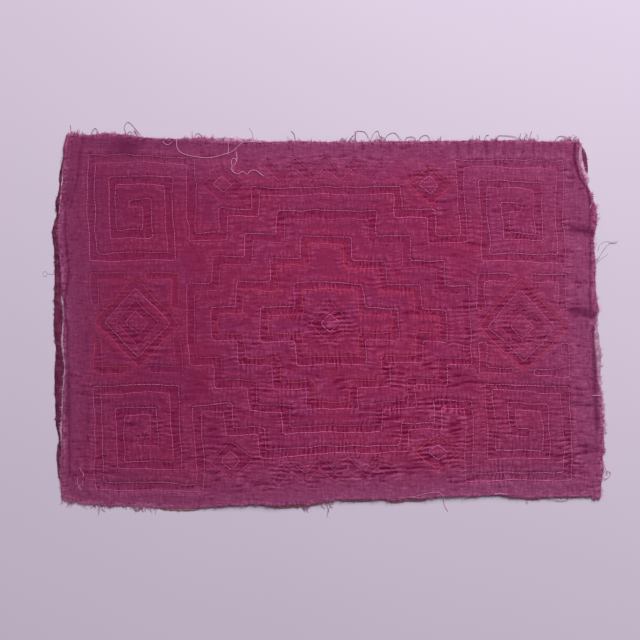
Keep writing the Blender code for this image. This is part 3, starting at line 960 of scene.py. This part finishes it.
def sew_down(data, x, y, on_top):
    """Moves the base cloth's upper points as the sewing does, and notes the shares of its colours,
    the painted light and shade among them.

    Returns x and y, moved on to the lines of stitching that pass close by, and the rise.
    """
    away, way_x, way_y, thread = nearest_stitching(x, y)
    x, y, away = move_on_to_lines(x, y, away, way_x, way_y)
    upright = soft_step(np.abs(way_x), 0.15, 0.75)
    inset = base_inset(x, y)
    firm = soft_step(inset, 0.0, FIRM_EDGE)
    sewn = soft_step(inset, *SEWN_FIELD)
    in_slit = soft_step(away, 0.2, -1.6)
    gathered, deep = gathering(x, y, in_slit)
    near = np.exp(-((np.abs(away) / PUCKER_REACH) ** 2))
    beside_level = np.exp(-((np.abs(away) / UPRIGHT_REACH) ** 2)) * (1.0 - upright)
    level = level_puckers(x, y) * upright * near * gathered * deep
    small = upright_puckers(x, y) * beside_level * gathered * deep
    wrinkles = level_wrinkles(x, y) * deep * (0.5 + 0.5 * upright) * (0.4 + 0.6 * sewn)
    wrinkles = wrinkles * (0.6 + 0.4 * gathered)
    swelling = np.exp(-(((np.maximum(away, 0.0) - SWELL_AWAY) / SWELL_WIDTH) ** 2)) * (1.0 - in_slit)
    crumple = soft_noise(x / 2.7, y / 2.3 + 47.0) + soft_noise(x / 5.5, y / 4.1 + 77.0) - 1.0

    height = SWELL_HEIGHT * swelling - SLIT_SINKS * in_slit
    height = height - LINE_SINKS * np.exp(-((away / LINE_WIDTH) ** 2))
    height = height + PUCKER_HEIGHT * level + UPRIGHT_HEIGHT * small
    height = height + WRINKLE_HEIGHT * wrinkles
    height = height + CRUMPLE_HEIGHT * crumple * (0.45 + 0.55 * sewn)
    # Painted shade along the creases, and stains
    crease_shade_and_stains = x * 0.0
    for corners, half_width, depth, darkening in CREASES:
        height = height - depth * near_line(x, y, corners, half_width)
        crease_shade_and_stains = np.maximum(crease_shade_and_stains, darkening * near_line(x, y, corners, half_width * CREASE_SHADE_WIDER))
    for stain_x, stain_y, half_width, half_height, darkening in STAINS:
        far = ((x - stain_x) / half_width) ** 2 + ((y - stain_y) / half_height) ** 2
        crease_shade_and_stains = np.maximum(crease_shade_and_stains, darkening * np.exp(-far))
    shares = wear_and_painted_light(x, y, inset, swelling)
    shares["in_slit"] = in_slit
    # Paler on the ridges of the puckers and wrinkles, darker in their valleys and right at the lines:
    # painted light and shade on the relief
    shares["ridges"] = 1.15 * level + 1.25 * small + wrinkles - 0.18 * np.exp(-((away / 1.1) ** 2))
    shares["crease_shade_and_stains"] = crease_shade_and_stains
    shares["by_coral"] = (thread == CORAL) * np.exp(-((away / 1.3) ** 2))
    # How much the fine puckers show, as bumps and as painted light and shade in the colour
    shares["upright_gathers"] = 0.7 * (1.0 - upright) * near * gathered * firm
    shares["level_gathers"] = 0.7 * (0.25 * sewn + upright * near) * gathered * deep * firm
    note_shares(data, on_top, shares)
    return x, y, height * firm


def note_shares(data, on_top, shares):
    """Writes named values at the points of the upper side, for the cloth's material."""
    everywhere = np.zeros(len(on_top), np.float32)
    for name, values in shares.items():
        everywhere[on_top] = values
        data.attributes.new(name, "FLOAT", "POINT").data.foreach_set("value", everywhere)


MAGENTA = (0.230, 0.0218, 0.0820, 1.0)
MAGENTA_REDDER = (0.251, 0.0199, 0.0715, 1.0)
MAGENTA_IN_SLITS = (0.240, 0.0165, 0.0650, 1.0)
MAGENTA_BY_CORAL = (0.360, 0.0300, 0.0760, 1.0)
# Paler: lighter threads, wear, and painted highlight on ridges, swells and the lower margin
MAGENTA_WORN_AND_LIT = (0.380, 0.0600, 0.1650, 1.0)
MAGENTA_FADED = (0.246, 0.0500, 0.1345, 1.0)
MAGENTA_FRAYED = (0.380, 0.1200, 0.2350, 1.0)
# Darker: to the left, lower right and in stains; painted shade at the top and in the creases
MAGENTA_DARK_AND_SHADE = (0.100, 0.0105, 0.0470, 1.0)
# Painted shade in the valleys of the puckers and right at the lines, also the darker threads
MAGENTA_HOLLOW_SHADE = (0.170, 0.0064, 0.0425, 1.0)
MAGENTA_FADED_WORN_AND_LIT = (0.352, 0.0940, 0.2050, 1.0)
MAGENTA_FADED_HOLLOW_SHADE = (0.163, 0.0170, 0.0690, 1.0)


def base_cotton():
    """Wine-magenta cotton: redder in the slits, paler beside them from wear and painted highlight,
    faded towards the edges, with painted light and shade on its puckers, creases and margins.
    """
    material, shader, place = start_material("wine_magenta_cotton", 0.9)
    shares = {
        name: place.node("ShaderNodeAttribute", {"attribute_name": name}, {}, "Fac")
        for name in ("in_slit", "worn_and_lit", "ridges", "faded", "frayed", "darker_and_shaded", "crease_shade_and_stains",
                     "by_coral", "upright_gathers", "level_gathers")
    }
    over, slub = weave(place, THREAD_PITCH)
    cloud = place.stretched(48.0, 40.0, 26.0).noise(2.0)
    patch = place.stretched(15.0, 12.0, 26.0).noise(2.0)
    fleck = place.stretched(2.2, 1.6, 3.0).noise(2.0)
    fine_level = place.stretched(5.0, 1.1, 8.0).noise(2.0) - 0.5
    fine_upright = place.stretched(1.1, 4.0, 8.0).noise(2.0) - 0.5
    streak = place.stretched(2.6, 26.0, 30.0).noise(1.0) - 0.5
    fine = fine_level * shares["level_gathers"] + fine_upright * shares["upright_gathers"]
    colour = cloud.between(0.36, 0.62).mix(MAGENTA, MAGENTA_REDDER)
    colour = (shares["in_slit"] * patch.between(0.25, 0.6) * 0.75).mix(colour, MAGENTA_IN_SLITS)
    colour = (shares["faded"] * 0.9).mix(colour, MAGENTA_FADED)
    colour = (shares["by_coral"] * 0.6).mix(colour, MAGENTA_BY_CORAL)
    threads = (slub * 0.95 + (fleck - 0.5) * 1.1) * (1.0 + shares["faded"] * 0.5)
    threads = threads + streak * shares["faded"] * 0.6
    # Lighter threads, wear and painted highlight on the ridges and fine puckers make it paler; darker
    # threads and painted shade in their valleys make it darker.
    tone_and_painted_light = threads + fine * 1.8 + shares["ridges"] + shares["worn_and_lit"]
    worn_and_lit = (shares["faded"] * 0.8).mix(MAGENTA_WORN_AND_LIT, MAGENTA_FADED_WORN_AND_LIT)
    colour = tone_and_painted_light.between(0.0, 1.0).mix(colour, worn_and_lit)
    painted_shade = (shares["faded"] * 0.8).mix(MAGENTA_HOLLOW_SHADE, MAGENTA_FADED_HOLLOW_SHADE)
    colour = (0.0 - tone_and_painted_light).between(0.0, 0.75).mix(colour, painted_shade)
    # Darker towards the left and at the lower right, and painted shade at the top
    colour = (shares["darker_and_shaded"] * 0.31).mix(colour, MAGENTA_DARK_AND_SHADE)
    colour = (shares["frayed"] * (fleck + slub).between(0.35, 0.75) * 0.8).mix(
        colour, MAGENTA_FRAYED
    )
    # Painted shade in the creases, and stains
    colour = (shares["crease_shade_and_stains"] * 0.95).mix(colour, MAGENTA_DARK_AND_SHADE)
    height = over * 0.012 + slub * 0.18 + fleck * 0.20 + fine * 0.46
    return finish_material(material, shader, colour, height)


base = lay_sheet("base_cotton", BASE_CELLS, *BASE_LAY, sew_down)
base.data.materials.append(base_cotton())
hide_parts("base_cloth")

# The stitching: small running stitches of cotton thread, pale pink on half of the lines and rose
# or coral on the others. Each stitch dips into the cloth at both ends.

# Distance from stitch to stitch, and the share of it that the thread takes on this side
STITCH_PITCH = 2.30
STITCH_SHARE = 0.90
STITCH_THICKNESS = 0.475
STITCH_LIFT = 0.20
# share of the stitch, then shares of its lift and its thickness there
STITCH_SHAPE = ((0.0, -0.6, 0.6), (0.25, 1.0, 1.0), (0.75, 1.0, 1.0), (1.0, -0.6, 0.6))
# A stitch is up to half of these shares longer or shorter, and further on or back, than usual,
# and leans by up to half of this distance
UNEVEN_STITCH = 0.3
UNEVEN_START = 0.15
LEANING = 0.18
# How much of a stitch's thickness shows: it changes along a line, over this many stitches, and
# is less at the left of the panel
SHOWS_LEAST, SHOWS_MORE = 0.62, 0.60
SHOWS_OVER = 7.0
LESS_AT_LEFT, LEFT_STITCHES = 0.28, (-30.0, -110.0)
# Heights of the cloth are measured down from here
WELL_ABOVE = 50.0
THREADS = {
    "pale_pink_stitches": (0.785, 0.205, 0.417, 1.0),
    "rose_stitches": (0.60, 0.120, 0.270, 1.0),
    "coral_stitches": (0.62, 0.122, 0.205, 1.0),
}

surface = BVHTree.FromObject(base, bpy.context.evaluated_depsgraph_get())


def height_at(x, y):
    """Height of the base cloth's upper side at a point, or None beside it.

    A ray can slip through exactly between two faces, so two others follow close beside it.
    """
    for shift in (0.0, 0.011, 0.023):
        above = Vector(((x + shift) * MM, (y + 0.7 * shift) * MM, WELL_ABOVE * MM))
        hit = surface.ray_cast(above, Vector((0.0, 0.0, -1.0)))[0]
        if hit:
            return hit.z / MM
    return None


def thread_piece(name, runs, thickness, material):
    """Threads as round tubes in one mesh. A run is rows of x, y, z and share of the thickness."""
    curve = bpy.data.curves.new(name, "CURVE")
    curve.dimensions = "3D"
    curve.bevel_depth = thickness / 2.0 * MM
    curve.bevel_resolution = 0
    curve.use_fill_caps = True
    for run in runs:
        rows = np.array(run)
        spline = curve.splines.new("POLY")
        spline.points.add(len(rows) - 1)
        where = np.ones((len(rows), 4))
        where[:, :3] = rows[:, :3] * MM
        spline.points.foreach_set("co", where.ravel())
        spline.points.foreach_set("radius", rows[:, 3])
        spline.use_smooth = True
    drawn = bpy.data.objects.new(name, curve)
    data = bpy.data.meshes.new_from_object(drawn)
    bpy.data.objects.remove(drawn)
    bpy.data.curves.remove(curve)
    data.materials.clear()
    data.materials.append(material)
    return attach(put_in_scene(name, data), "root")


def thread_cotton(name, colour, spread=0.35):
    """Cotton thread: uneven dye along its length, with a dull surface."""
    material, shader, place = start_material(name, 0.8)
    uneven = place.stretched(3.0, 3.0, 3.0).noise(2.0)
    darker = tuple(value * (1.0 - spread) for value in colour[:3]) + (1.0,)
    return finish_material(material, shader, uneven.between(0.3, 0.7).mix(darker, colour))


def sew(line):
    """The stitches of one line as runs for thread_piece."""
    x, y = np.append(line[:, 0], line[0, 0]), np.append(line[:, 1], line[0, 1])
    length = np.append(0.0, np.cumsum(np.hypot(np.diff(x), np.diff(y))))
    count = max(3, round(length[-1] / STITCH_PITCH))
    number = np.arange(count)
    shows = soft_noise(number / SHOWS_OVER + x[0], number * 0.0 + y[0])
    there = np.interp(number, np.linspace(0, count, len(x)), x)
    shows = (SHOWS_LEAST + SHOWS_MORE * shows) * (1.0 - LESS_AT_LEFT * soft_step(there, *LEFT_STITCHES))
    pitch = length[-1] / count
    runs = []
    for i in range(count):
        shift, longer, lean = chance.random(3) - 0.5
        start = (i + UNEVEN_START * shift) * pitch
        run = pitch * STITCH_SHARE * (1.0 + UNEVEN_STITCH * longer)
        rows = []
        for share, lift, width in STITCH_SHAPE:
            where = min(start + run * share, length[-1])
            aside = LEANING * lean * (share - 0.5)
            at_x = np.interp(where, length, x) + aside
            at_y = np.interp(where, length, y) + aside
            rows.append((at_x, at_y, height_at(at_x, at_y) + lift * STITCH_LIFT, width * shows[i]))
        runs.append(rows)
    return runs


sewn = {name: [] for name in THREADS}
for number, line in enumerate(lines):
    name = list(THREADS)[THREAD_ORDER[number % len(THREAD_ORDER)]]
    sewn[name] += sew(line)
for name, colour in THREADS.items():
    piece = thread_piece(name, sewn[name], STITCH_THICKNESS, thread_cotton(name, colour))

# The frayed edges: the raw edges of all three layers have shed their outer threads, and the ends
# of the threads that cross them stand out as short hairs, closer in some places than in others.

# A hair starts this far inside the edge, and the way out is measured over this distance there
HAIR_ROOT = 0.7
WAY_STEP = 0.4
HAIR_THICKNESS = 0.28
# share of the hair, then share of its thickness there, from its root on
HAIR_SHAPE = ((0.0, 1.0), (0.45, 0.9), (1.0, 0.45))
# Hairs are long or short together over this length, and none is longer than this many times usual
CLUMP_LENGTH = 2.3
LONGEST_HAIR = 3.2
WINE_FRAY = (0.480, 0.140, 0.275, 1.0)
TOP_FRAY = (0.400, 0.102, 0.212, 1.0)
PALE_FRAY = (0.800, 0.500, 0.680, 1.0)
# share of the layer's width and height at each side, for lay_out; None is the way along it
SIDES = {"left": (0.0, None), "right": (1.0, None), "bottom": (None, 0.0), "top": (None, 1.0)}


def fray(name, outs, heights, ragged, seed, stretches, colour):
    """Hairs along a layer's raw edge, which is laid as lay_sheet does it.

    stretches: side, start and end as shares of it, hairs for each millimetre, usual length.
    """
    runs = []
    for side, start, end, closeness, usual in stretches:
        u, v = SIDES[side]
        length = PANEL_HEIGHT if u is not None else PANEL_WIDTH
        count = round((end - start) * length * closeness)
        share = start + (end - start) * chance.random(count)
        step = WAY_STEP / length
        ways = []
        for along in (share - step, share, share + step):
            along = np.clip(along, 0.0, 1.0)
            u_now = along if u is None else along * 0.0 + u
            v_now = along if v is None else along * 0.0 + v
            ways.append(lay_out(u_now, v_now, outs, ragged, seed))
        (before_x, before_y), (x, y), (after_x, after_y) = ways
        way_x, way_y = after_y - before_y, before_x - after_x
        turn = np.sign(way_x * x + way_y * y) / np.maximum(np.hypot(way_x, way_y), 1e-6)
        way_x, way_y = way_x * turn, way_y * turn
        low, high = layer_sides(x, y, *heights)
        clumps = soft_noise(share * length / CLUMP_LENGTH + seed, share * 0.0 + 3.0)
        for i in range(count):
            reach = usual * (0.25 + 1.5 * clumps[i] ** 2) * (0.4 + 0.5 * chance.exponential())
            reach = min(reach, LONGEST_HAIR * usual)
            lean, bend, tip = chance.uniform(-1.0, 1.0, 3)
            level = low[i] + (high[i] - low[i]) * chance.uniform(0.25, 0.95)
            rows = []
            for part, width in HAIR_SHAPE:
                out = part * reach if part else -HAIR_ROOT
                aside = (0.7 * lean * part + 0.35 * bend * math.sin(math.pi * part)) * reach
                height = level + (0.25 * tip + 0.1 - 0.35 * part) * reach * part
                rows.append((
                    x[i] + way_x[i] * out - way_y[i] * aside,
                    y[i] + way_y[i] * out + way_x[i] * aside,
                    max(height, HAIR_THICKNESS), width,
                ))
            runs.append(rows)
    return thread_piece(name, runs, HAIR_THICKNESS, thread_cotton(name, colour))


# start, end and usual length of the tufts along the base cloth's upper edge
TUFTS = (
    (0.000, 0.006, 2.2), (0.010, 0.037, 1.8), (0.054, 0.103, 1.9), (0.063, 0.077, 2.0),
    (0.108, 0.130, 1.8), (0.230, 0.262, 2.6), (0.262, 0.296, 2.0), (0.300, 0.330, 2.3),
    (0.345, 0.375, 2.0), (0.432, 0.442, 2.6), (0.536, 0.555, 1.9), (0.559, 0.567, 3.2),
    (0.590, 0.622, 2.6), (0.668, 0.686, 1.8), (0.742, 0.747, 1.6), (0.786, 0.808, 2.4),
    (0.829, 0.837, 1.9), (0.888, 0.914, 2.2), (0.969, 0.986, 1.8), (0.993, 1.000, 2.2),
)
fray(
    "base_fray", *BASE_LAY,
    (("left", 0.0, 1.0, 2.6, 0.9), ("right", 0.0, 1.0, 3.0, 1.1),
     ("bottom", 0.0, 0.16, 13.0, 2.2), ("bottom", 0.16, 0.36, 7.0, 1.0),
     ("bottom", 0.130, 0.145, 16.0, 2.8), ("bottom", 0.158, 0.178, 12.0, 3.2),
     ("bottom", 0.448, 0.468, 8.0, 1.9), ("bottom", 0.490, 0.508, 7.0, 1.6),
     ("bottom", 0.546, 0.552, 7.0, 1.5), ("bottom", 0.986, 1.0, 8.0, 1.4),
     ("bottom", 0.36, 1.0, 6.0, 0.95)), WINE_FRAY,
)
fray(
    "top_fray", *BASE_LAY,
    (("top", 0.0, 1.0, 3.2, 1.0),) + tuple(
        ("top", start, end, 7.0, usual) for start, end, usual in TUFTS
    ), TOP_FRAY,
)
fray(
    "middle_fray", *MIDDLE_LAY,
    (("left", 0.03, 0.66, 2.6, 0.8), ("right", 0.86, 1.0, 2.2, 0.6),
     ("right", 0.18, 0.56, 3.4, 1.1), ("top", 0.27, 0.43, 3.0, 0.9),
     ("bottom", 0.74, 0.90, 2.2, 1.8), ("bottom", 0.93, 0.96, 4.0, 1.8)), PALE_FRAY,
)
fray(
    "face_fray", *FACE_LAY,
    (("left", 0.05, 0.93, 2.6, 0.55), ("right", 0.88, 1.0, 1.6, 0.5),
     ("bottom", 0.05, 0.98, 2.0, 0.6)), DARK_WINE[1],
)

# Loose threads: pulled out of the raw edges or left over from the sewing, they lie on the cloth
# or hang from its edge on to the table. The routes are in millimetres, from one end to the other.

# thickness, colour, whether they lie over the cloth, and routes
LOOSE_THREADS = {
    "wine_loose_threads": (0.36, (0.420, 0.130, 0.240, 1.0), False, (
        ((-155.7, 140.9), (-157.3, 146.8), (-158.8, 151.5), (-156.5, 155.4), (-153.4, 153.9),
         (-148.7, 148.4), (-144.8, 143.7), (-143.0, 138.6)),
        ((-199.4, 142.5), (-200.2, 148.4), (-201.0, 153.1)),
        ((-195.8, 142.5), (-195.6, 148.0), (-195.0, 149.6)),
        ((-184.6, 143.2), (-184.0, 147.4), (-181.4, 150.8), (-178.9, 147.2)),
        ((-174.4, 143.0), (-174.1, 147.0), (-173.5, 148.4)),
        ((-171.4, 143.0), (-171.2, 147.6)),
        ((-168.0, 143.0), (-168.8, 146.8), (-167.4, 148.0)),
        ((-156.7, 142.0), (-156.0, 146.4), (-154.0, 148.2), (-151.6, 145.6), (-150.2, 142.0)),
        ((-151.4, 149.2), (-149.0, 145.8), (-147.4, 142.0)),
        ((-150.6, 148.6), (-148.4, 146.0), (-146.2, 142.0)),
        ((-102.7, 139.4), (-103.5, 144.5), (-101.1, 146.8), (-98.0, 144.5), (-97.2, 139.2)),
        ((-28.6, 148.4), (-26.2, 146.1), (-24.7, 139.6)),
        ((9.6, 138.6), (11.2, 142.9), (13.5, 141.8)),
        ((16.7, 138.6), (17.4, 142.2), (20.6, 145.3)),
        ((21.3, 138.5), (21.7, 144.5), (21.3, 148.4)),
        ((22.1, 138.4), (22.1, 147.4), (26.0, 148.4), (29.9, 146.8), (33.8, 138.9)),
        ((32.3, 138.8), (36.2, 146.8), (39.3, 148.4), (40.8, 144.5), (44.7, 142.9),
         (45.5, 138.8)),
        ((44.0, 138.6), (45.5, 143.7), (49.4, 146.8), (53.3, 146.4), (59.0, 139.2)),
        ((60.3, 138.6), (61.1, 142.9), (65.0, 144.1), (68.1, 142.9), (68.9, 138.6)),
        ((71.3, 138.6), (72.0, 142.9), (75.9, 145.3), (79.1, 143.7), (79.8, 138.6)),
        ((87.6, 138.6), (88.4, 144.5)),
        ((118.1, 138.8), (118.8, 145.3)),
        ((122.0, 138.8), (123.5, 144.5), (125.9, 145.3)),
        ((131.3, 138.8), (132.9, 144.5), (137.6, 144.9), (143.8, 144.5), (148.5, 142.9),
         (149.3, 138.8)),
        ((150.0, 138.8), (150.0, 142.9), (150.8, 146.8)),
        ((156.3, 138.8), (157.8, 143.7), (159.4, 148.4)),
        ((154.7, 138.8), (153.9, 143.7), (156.3, 146.1)),
        ((177.3, 138.8), (178.1, 142.2), (181.2, 144.5), (185.9, 143.7), (187.5, 138.6)),
        ((189.8, 138.8), (189.8, 142.9), (188.3, 144.5)),
        ((192.2, 138.8), (192.9, 142.9), (194.5, 144.5)),
        ((-179.1, -141.3), (-178.3, -147.2), (-179.1, -151.1)),
        ((-176.8, -141.3), (-176.0, -146.4), (-173.7, -148.8)),
        ((-149.5, -141.5), (-151.0, -145.7), (-149.5, -148.8)),
        ((-146.4, -141.5), (-145.6, -145.7), (-144.0, -148.8)),
        ((-151.6, -141.5), (-151.2, -144.6), (-150.0, -147.2), (-147.8, -148.2),
         (-146.4, -146.0), (-146.8, -142.4)),
        ((-150.4, -141.5), (-150.2, -145.0), (-148.8, -148.6)),
        ((-148.2, -141.5), (-148.6, -145.4), (-147.2, -147.6), (-145.4, -145.2),
         (-145.0, -142.0)),
        ((-96.4, -140.0), (-95.7, -146.9)),
        ((-19.2, -138.2), (-20.0, -144.1), (-17.7, -148.8)),
        ((-16.9, -138.2), (-15.3, -144.1), (-16.1, -148.0)),
        ((-21.5, -140.6), (-20.6, -143.4), (-17.2, -146.8), (-15.3, -149.4)),
        ((-13.0, -140.4), (-13.8, -143.4), (-17.7, -146.8), (-19.2, -145.2)),
        ((-2.1, -137.4), (-0.5, -143.3), (0.3, -148.0), (-0.5, -152.7)),
        ((-4.4, -137.4), (-4.4, -144.1), (-2.1, -146.4)),
        ((4.4, -138.5), (3.8, -141.5), (1.6, -144.9), (0.6, -149.2)),
        ((1.1, -137.4), (1.8, -144.1), (4.2, -145.7)),
        ((175.5, -135.5), (177.0, -138.9), (181.4, -140.4), (186.6, -139.4), (188.2, -135.0)),
        ((154.9, -137.0), (155.4, -141.0), (156.4, -142.2)),
        ((213.5, -104.4), (215.8, -112.5), (218.4, -120.2)),
        ((212.8, -119.6), (216.4, -123.2), (220.0, -121.4), (220.6, -118.2), (218.0, -117.0)),
    )),
    "pale_loose_threads": (0.52, (0.72, 0.31, 0.51, 1.0), True, (
        ((-128.4, 140.2), (-127.6, 138.8), (-125.3, 137.3), (-123.0, 138.0), (-121.4, 139.6)),
        ((-117.9, 142.2), (-117.5, 135.9), (-115.9, 132.8), (-112.8, 130.5), (-108.1, 128.9),
         (-103.5, 128.1), (-95.7, 127.3), (-89.4, 127.7), (-84.0, 128.9), (-78.5, 130.5),
         (-74.6, 132.0), (-70.7, 135.1), (-68.4, 137.5), (-65.2, 139.4), (-62.1, 139.6),
         (-56.7, 139.6), (-51.2, 139.2)),
        ((-77.7, 139.0), (-77.3, 134.4), (-77.7, 129.7)),
        ((-71.5, 132.0), (-70.7, 128.1), (-71.1, 124.2)),
        ((-74.6, 121.1), (-75.0, 124.2), (-73.8, 126.6), (-71.5, 125.8), (-71.5, 123.4),
         (-73.0, 121.1), (-74.6, 119.5), (-73.8, 116.4), (-69.9, 114.5), (-66.0, 116.4),
         (-62.9, 114.1), (-59.8, 117.2), (-55.9, 117.2), (-52.8, 114.9), (-49.6, 112.5)),
        ((205.6, 91.2), (204.9, 89.6), (204.4, 87.9)),
        ((206.2, -57.8), (212.8, -57.8)),
        ((129.8, -134.7), (134.4, -134.4), (139.9, -134.7)),
        ((214.6, -81.6), (215.6, -83.0), (214.9, -84.4)),
    )),
    "pink_loose_threads": (0.36, (0.640, 0.270, 0.460, 1.0), True, (
        ((65.8, -137.1), (72.0, -135.4), (79.4, -133.6), (85.6, -133.2), (89.0, -135.4),
         (90.4, -139.4), (91.4, -144.2), (94.0, -148.4)),
        ((-193.1, -114.4), (-191.4, -117.4), (-190.0, -119.1), (-190.6, -121.4)),
        ((-191.0, -124.2), (-190.5, -126.6), (-191.0, -128.2)),
        ((-194.6, -121.8), (-195.0, -125.6), (-194.2, -128.4), (-193.6, -131.6)),
        ((-192.4, -127.0), (-194.0, -129.0), (-196.2, -130.6)),
        ((-193.4, -128.6), (-192.8, -130.6), (-192.2, -131.8)),
    )),
    "grey_loose_threads": (0.24, (0.50, 0.37, 0.48, 1.0), False, (
        ((-61.3, 150.7), (-59.0, 147.6), (-57.4, 139.9)),
        ((209.0, 43.4), (210.2, 46.8), (212.4, 50.4), (215.4, 55.0), (219.4, 60.0), (223.0, 61.9),
         (226.0, 62.2)),
        ((209.4, 44.6), (210.0, 47.6), (213.0, 51.6), (216.6, 57.2), (220.8, 60.8), (225.0, 61.0)),
        ((210.6, 46.2), (213.8, 49.0), (217.7, 51.4), (219.0, 53.4)),
        ((211.2, 55.6), (212.2, 59.0), (215.2, 61.6), (219.0, 62.2), (223.8, 60.9), (226.8, 63.2)),
        ((219.4, 61.2), (223.0, 60.6), (226.4, 61.4)),
        ((-211.0, 36.6), (-216.0, 36.9), (-218.8, 37.2), (-220.0, 38.8), (-221.8, 38.6),
         (-222.4, 36.8), (-221.4, 35.2), (-219.6, 35.4), (-218.8, 37.0)),
    )),
}
# A thread is laid in steps of this length
THREAD_STEP = 0.8
# Beside the cloth a thread comes down to the table over this distance
THREAD_FALLS = 3.0
# A thread that comes out of the raw edge starts this far in, and this many thicknesses down
HIDDEN_END = 1.0
HIDDEN_DEPTH = 1.6
# A thread's middle lies this many thicknesses above what it lies on
THREAD_MIDDLE = 0.6


def lay_thread(route, thickness, over_cloth):
    """A thread laid on the cloth and the table along its route, as a run for thread_piece.

    One that doesn't lie over the cloth comes out from under its raw edge.
    """
    corners = np.array(route)
    count = len(corners)
    length = np.hypot(*np.diff(corners, axis=0).T).sum()
    steps = max(4, round(length / THREAD_STEP))
    share = np.linspace(0.0, count - 1.0, steps)
    x = read_edge(list(enumerate(corners[:, 0])), share)
    y = read_edge(list(enumerate(corners[:, 1])), share)
    inset = base_inset(x, y)
    if not over_cloth:
        kept = inset < HIDDEN_END
        x, y, inset, share = x[kept], y[kept], inset[kept], share[kept]
    levels = []
    for at_x, at_y, inside in zip(x, y, inset):
        level = height_at(at_x, at_y)
        if level is None:
            beside = max(0.0, -inside)
            level = (BASE_AT_EDGE[1] - thickness) * math.exp(-((beside / THREAD_FALLS) ** 2))
        levels.append(level + thickness * THREAD_MIDDLE)
    levels = np.array(levels)
    smoother = (np.append(levels[1:], levels[-1]) + np.append(levels[0], levels[:-1])) / 2.0
    levels = np.maximum(levels, smoother)
    if not over_cloth:
        levels = levels - HIDDEN_DEPTH * thickness * soft_step(inset, 0.0, HIDDEN_END)
    width = 0.85 + 0.3 * soft_noise(share * 2.1, share * 0.0 + corners[0, 0])
    return np.stack([x, y, levels, width], axis=1)


for name, (thickness, colour, over_cloth, routes) in LOOSE_THREADS.items():
    runs = [lay_thread(route, thickness, over_cloth) for route in routes]
    piece = thread_piece(name, runs, thickness, thread_cotton(name, colour, 0.25))

# The light and the camera: one large soft light high at the upper right, like a window, in a pale
# room. The camera looks straight down and frames the panel as the photograph does.

WORLD_COLOUR = (0.95, 0.93, 1.0, 1.0)
WORLD_STRENGTH = 0.27
KEY_STRENGTH = 73.0
KEY_SIZE = 1.4
KEY_PLACE = (0.67, 1.72, 1.37)
# how wide the picture is at the level of the panel, and where its middle lies on the panel
FRAME_WIDTH = 499.2 * MM
PHOTO_MIDDLE = (-5.97 * MM, 0.98 * MM)
PANEL_LEVEL = 1.0 * MM
CAMERA_HEIGHT = 0.62
SENSOR_WIDTH = 36.0

world = bpy.data.worlds.new("studio")
world.use_nodes = True
world.node_tree.nodes["Background"].inputs["Color"].default_value = WORLD_COLOUR
world.node_tree.nodes["Background"].inputs["Strength"].default_value = WORLD_STRENGTH
bpy.context.scene.world = world
bpy.context.scene.view_settings.view_transform = "Standard"

key_light = bpy.data.lights.new("window", "AREA")
key_light.energy = KEY_STRENGTH
key_light.size = KEY_SIZE
key = put_in_scene("window", key_light)
key.location = KEY_PLACE
key.rotation_mode = "QUATERNION"
key.rotation_quaternion = Vector(KEY_PLACE).to_track_quat("Z", "Y")

camera_data = bpy.data.cameras.new("camera")
camera_data.sensor_width = SENSOR_WIDTH
camera_data.lens = SENSOR_WIDTH * (CAMERA_HEIGHT - PANEL_LEVEL) / FRAME_WIDTH
camera_data.clip_start = 0.01
camera = put_in_scene("camera", camera_data)
camera.location = (*PHOTO_MIDDLE, CAMERA_HEIGHT)
bpy.context.scene.camera = camera
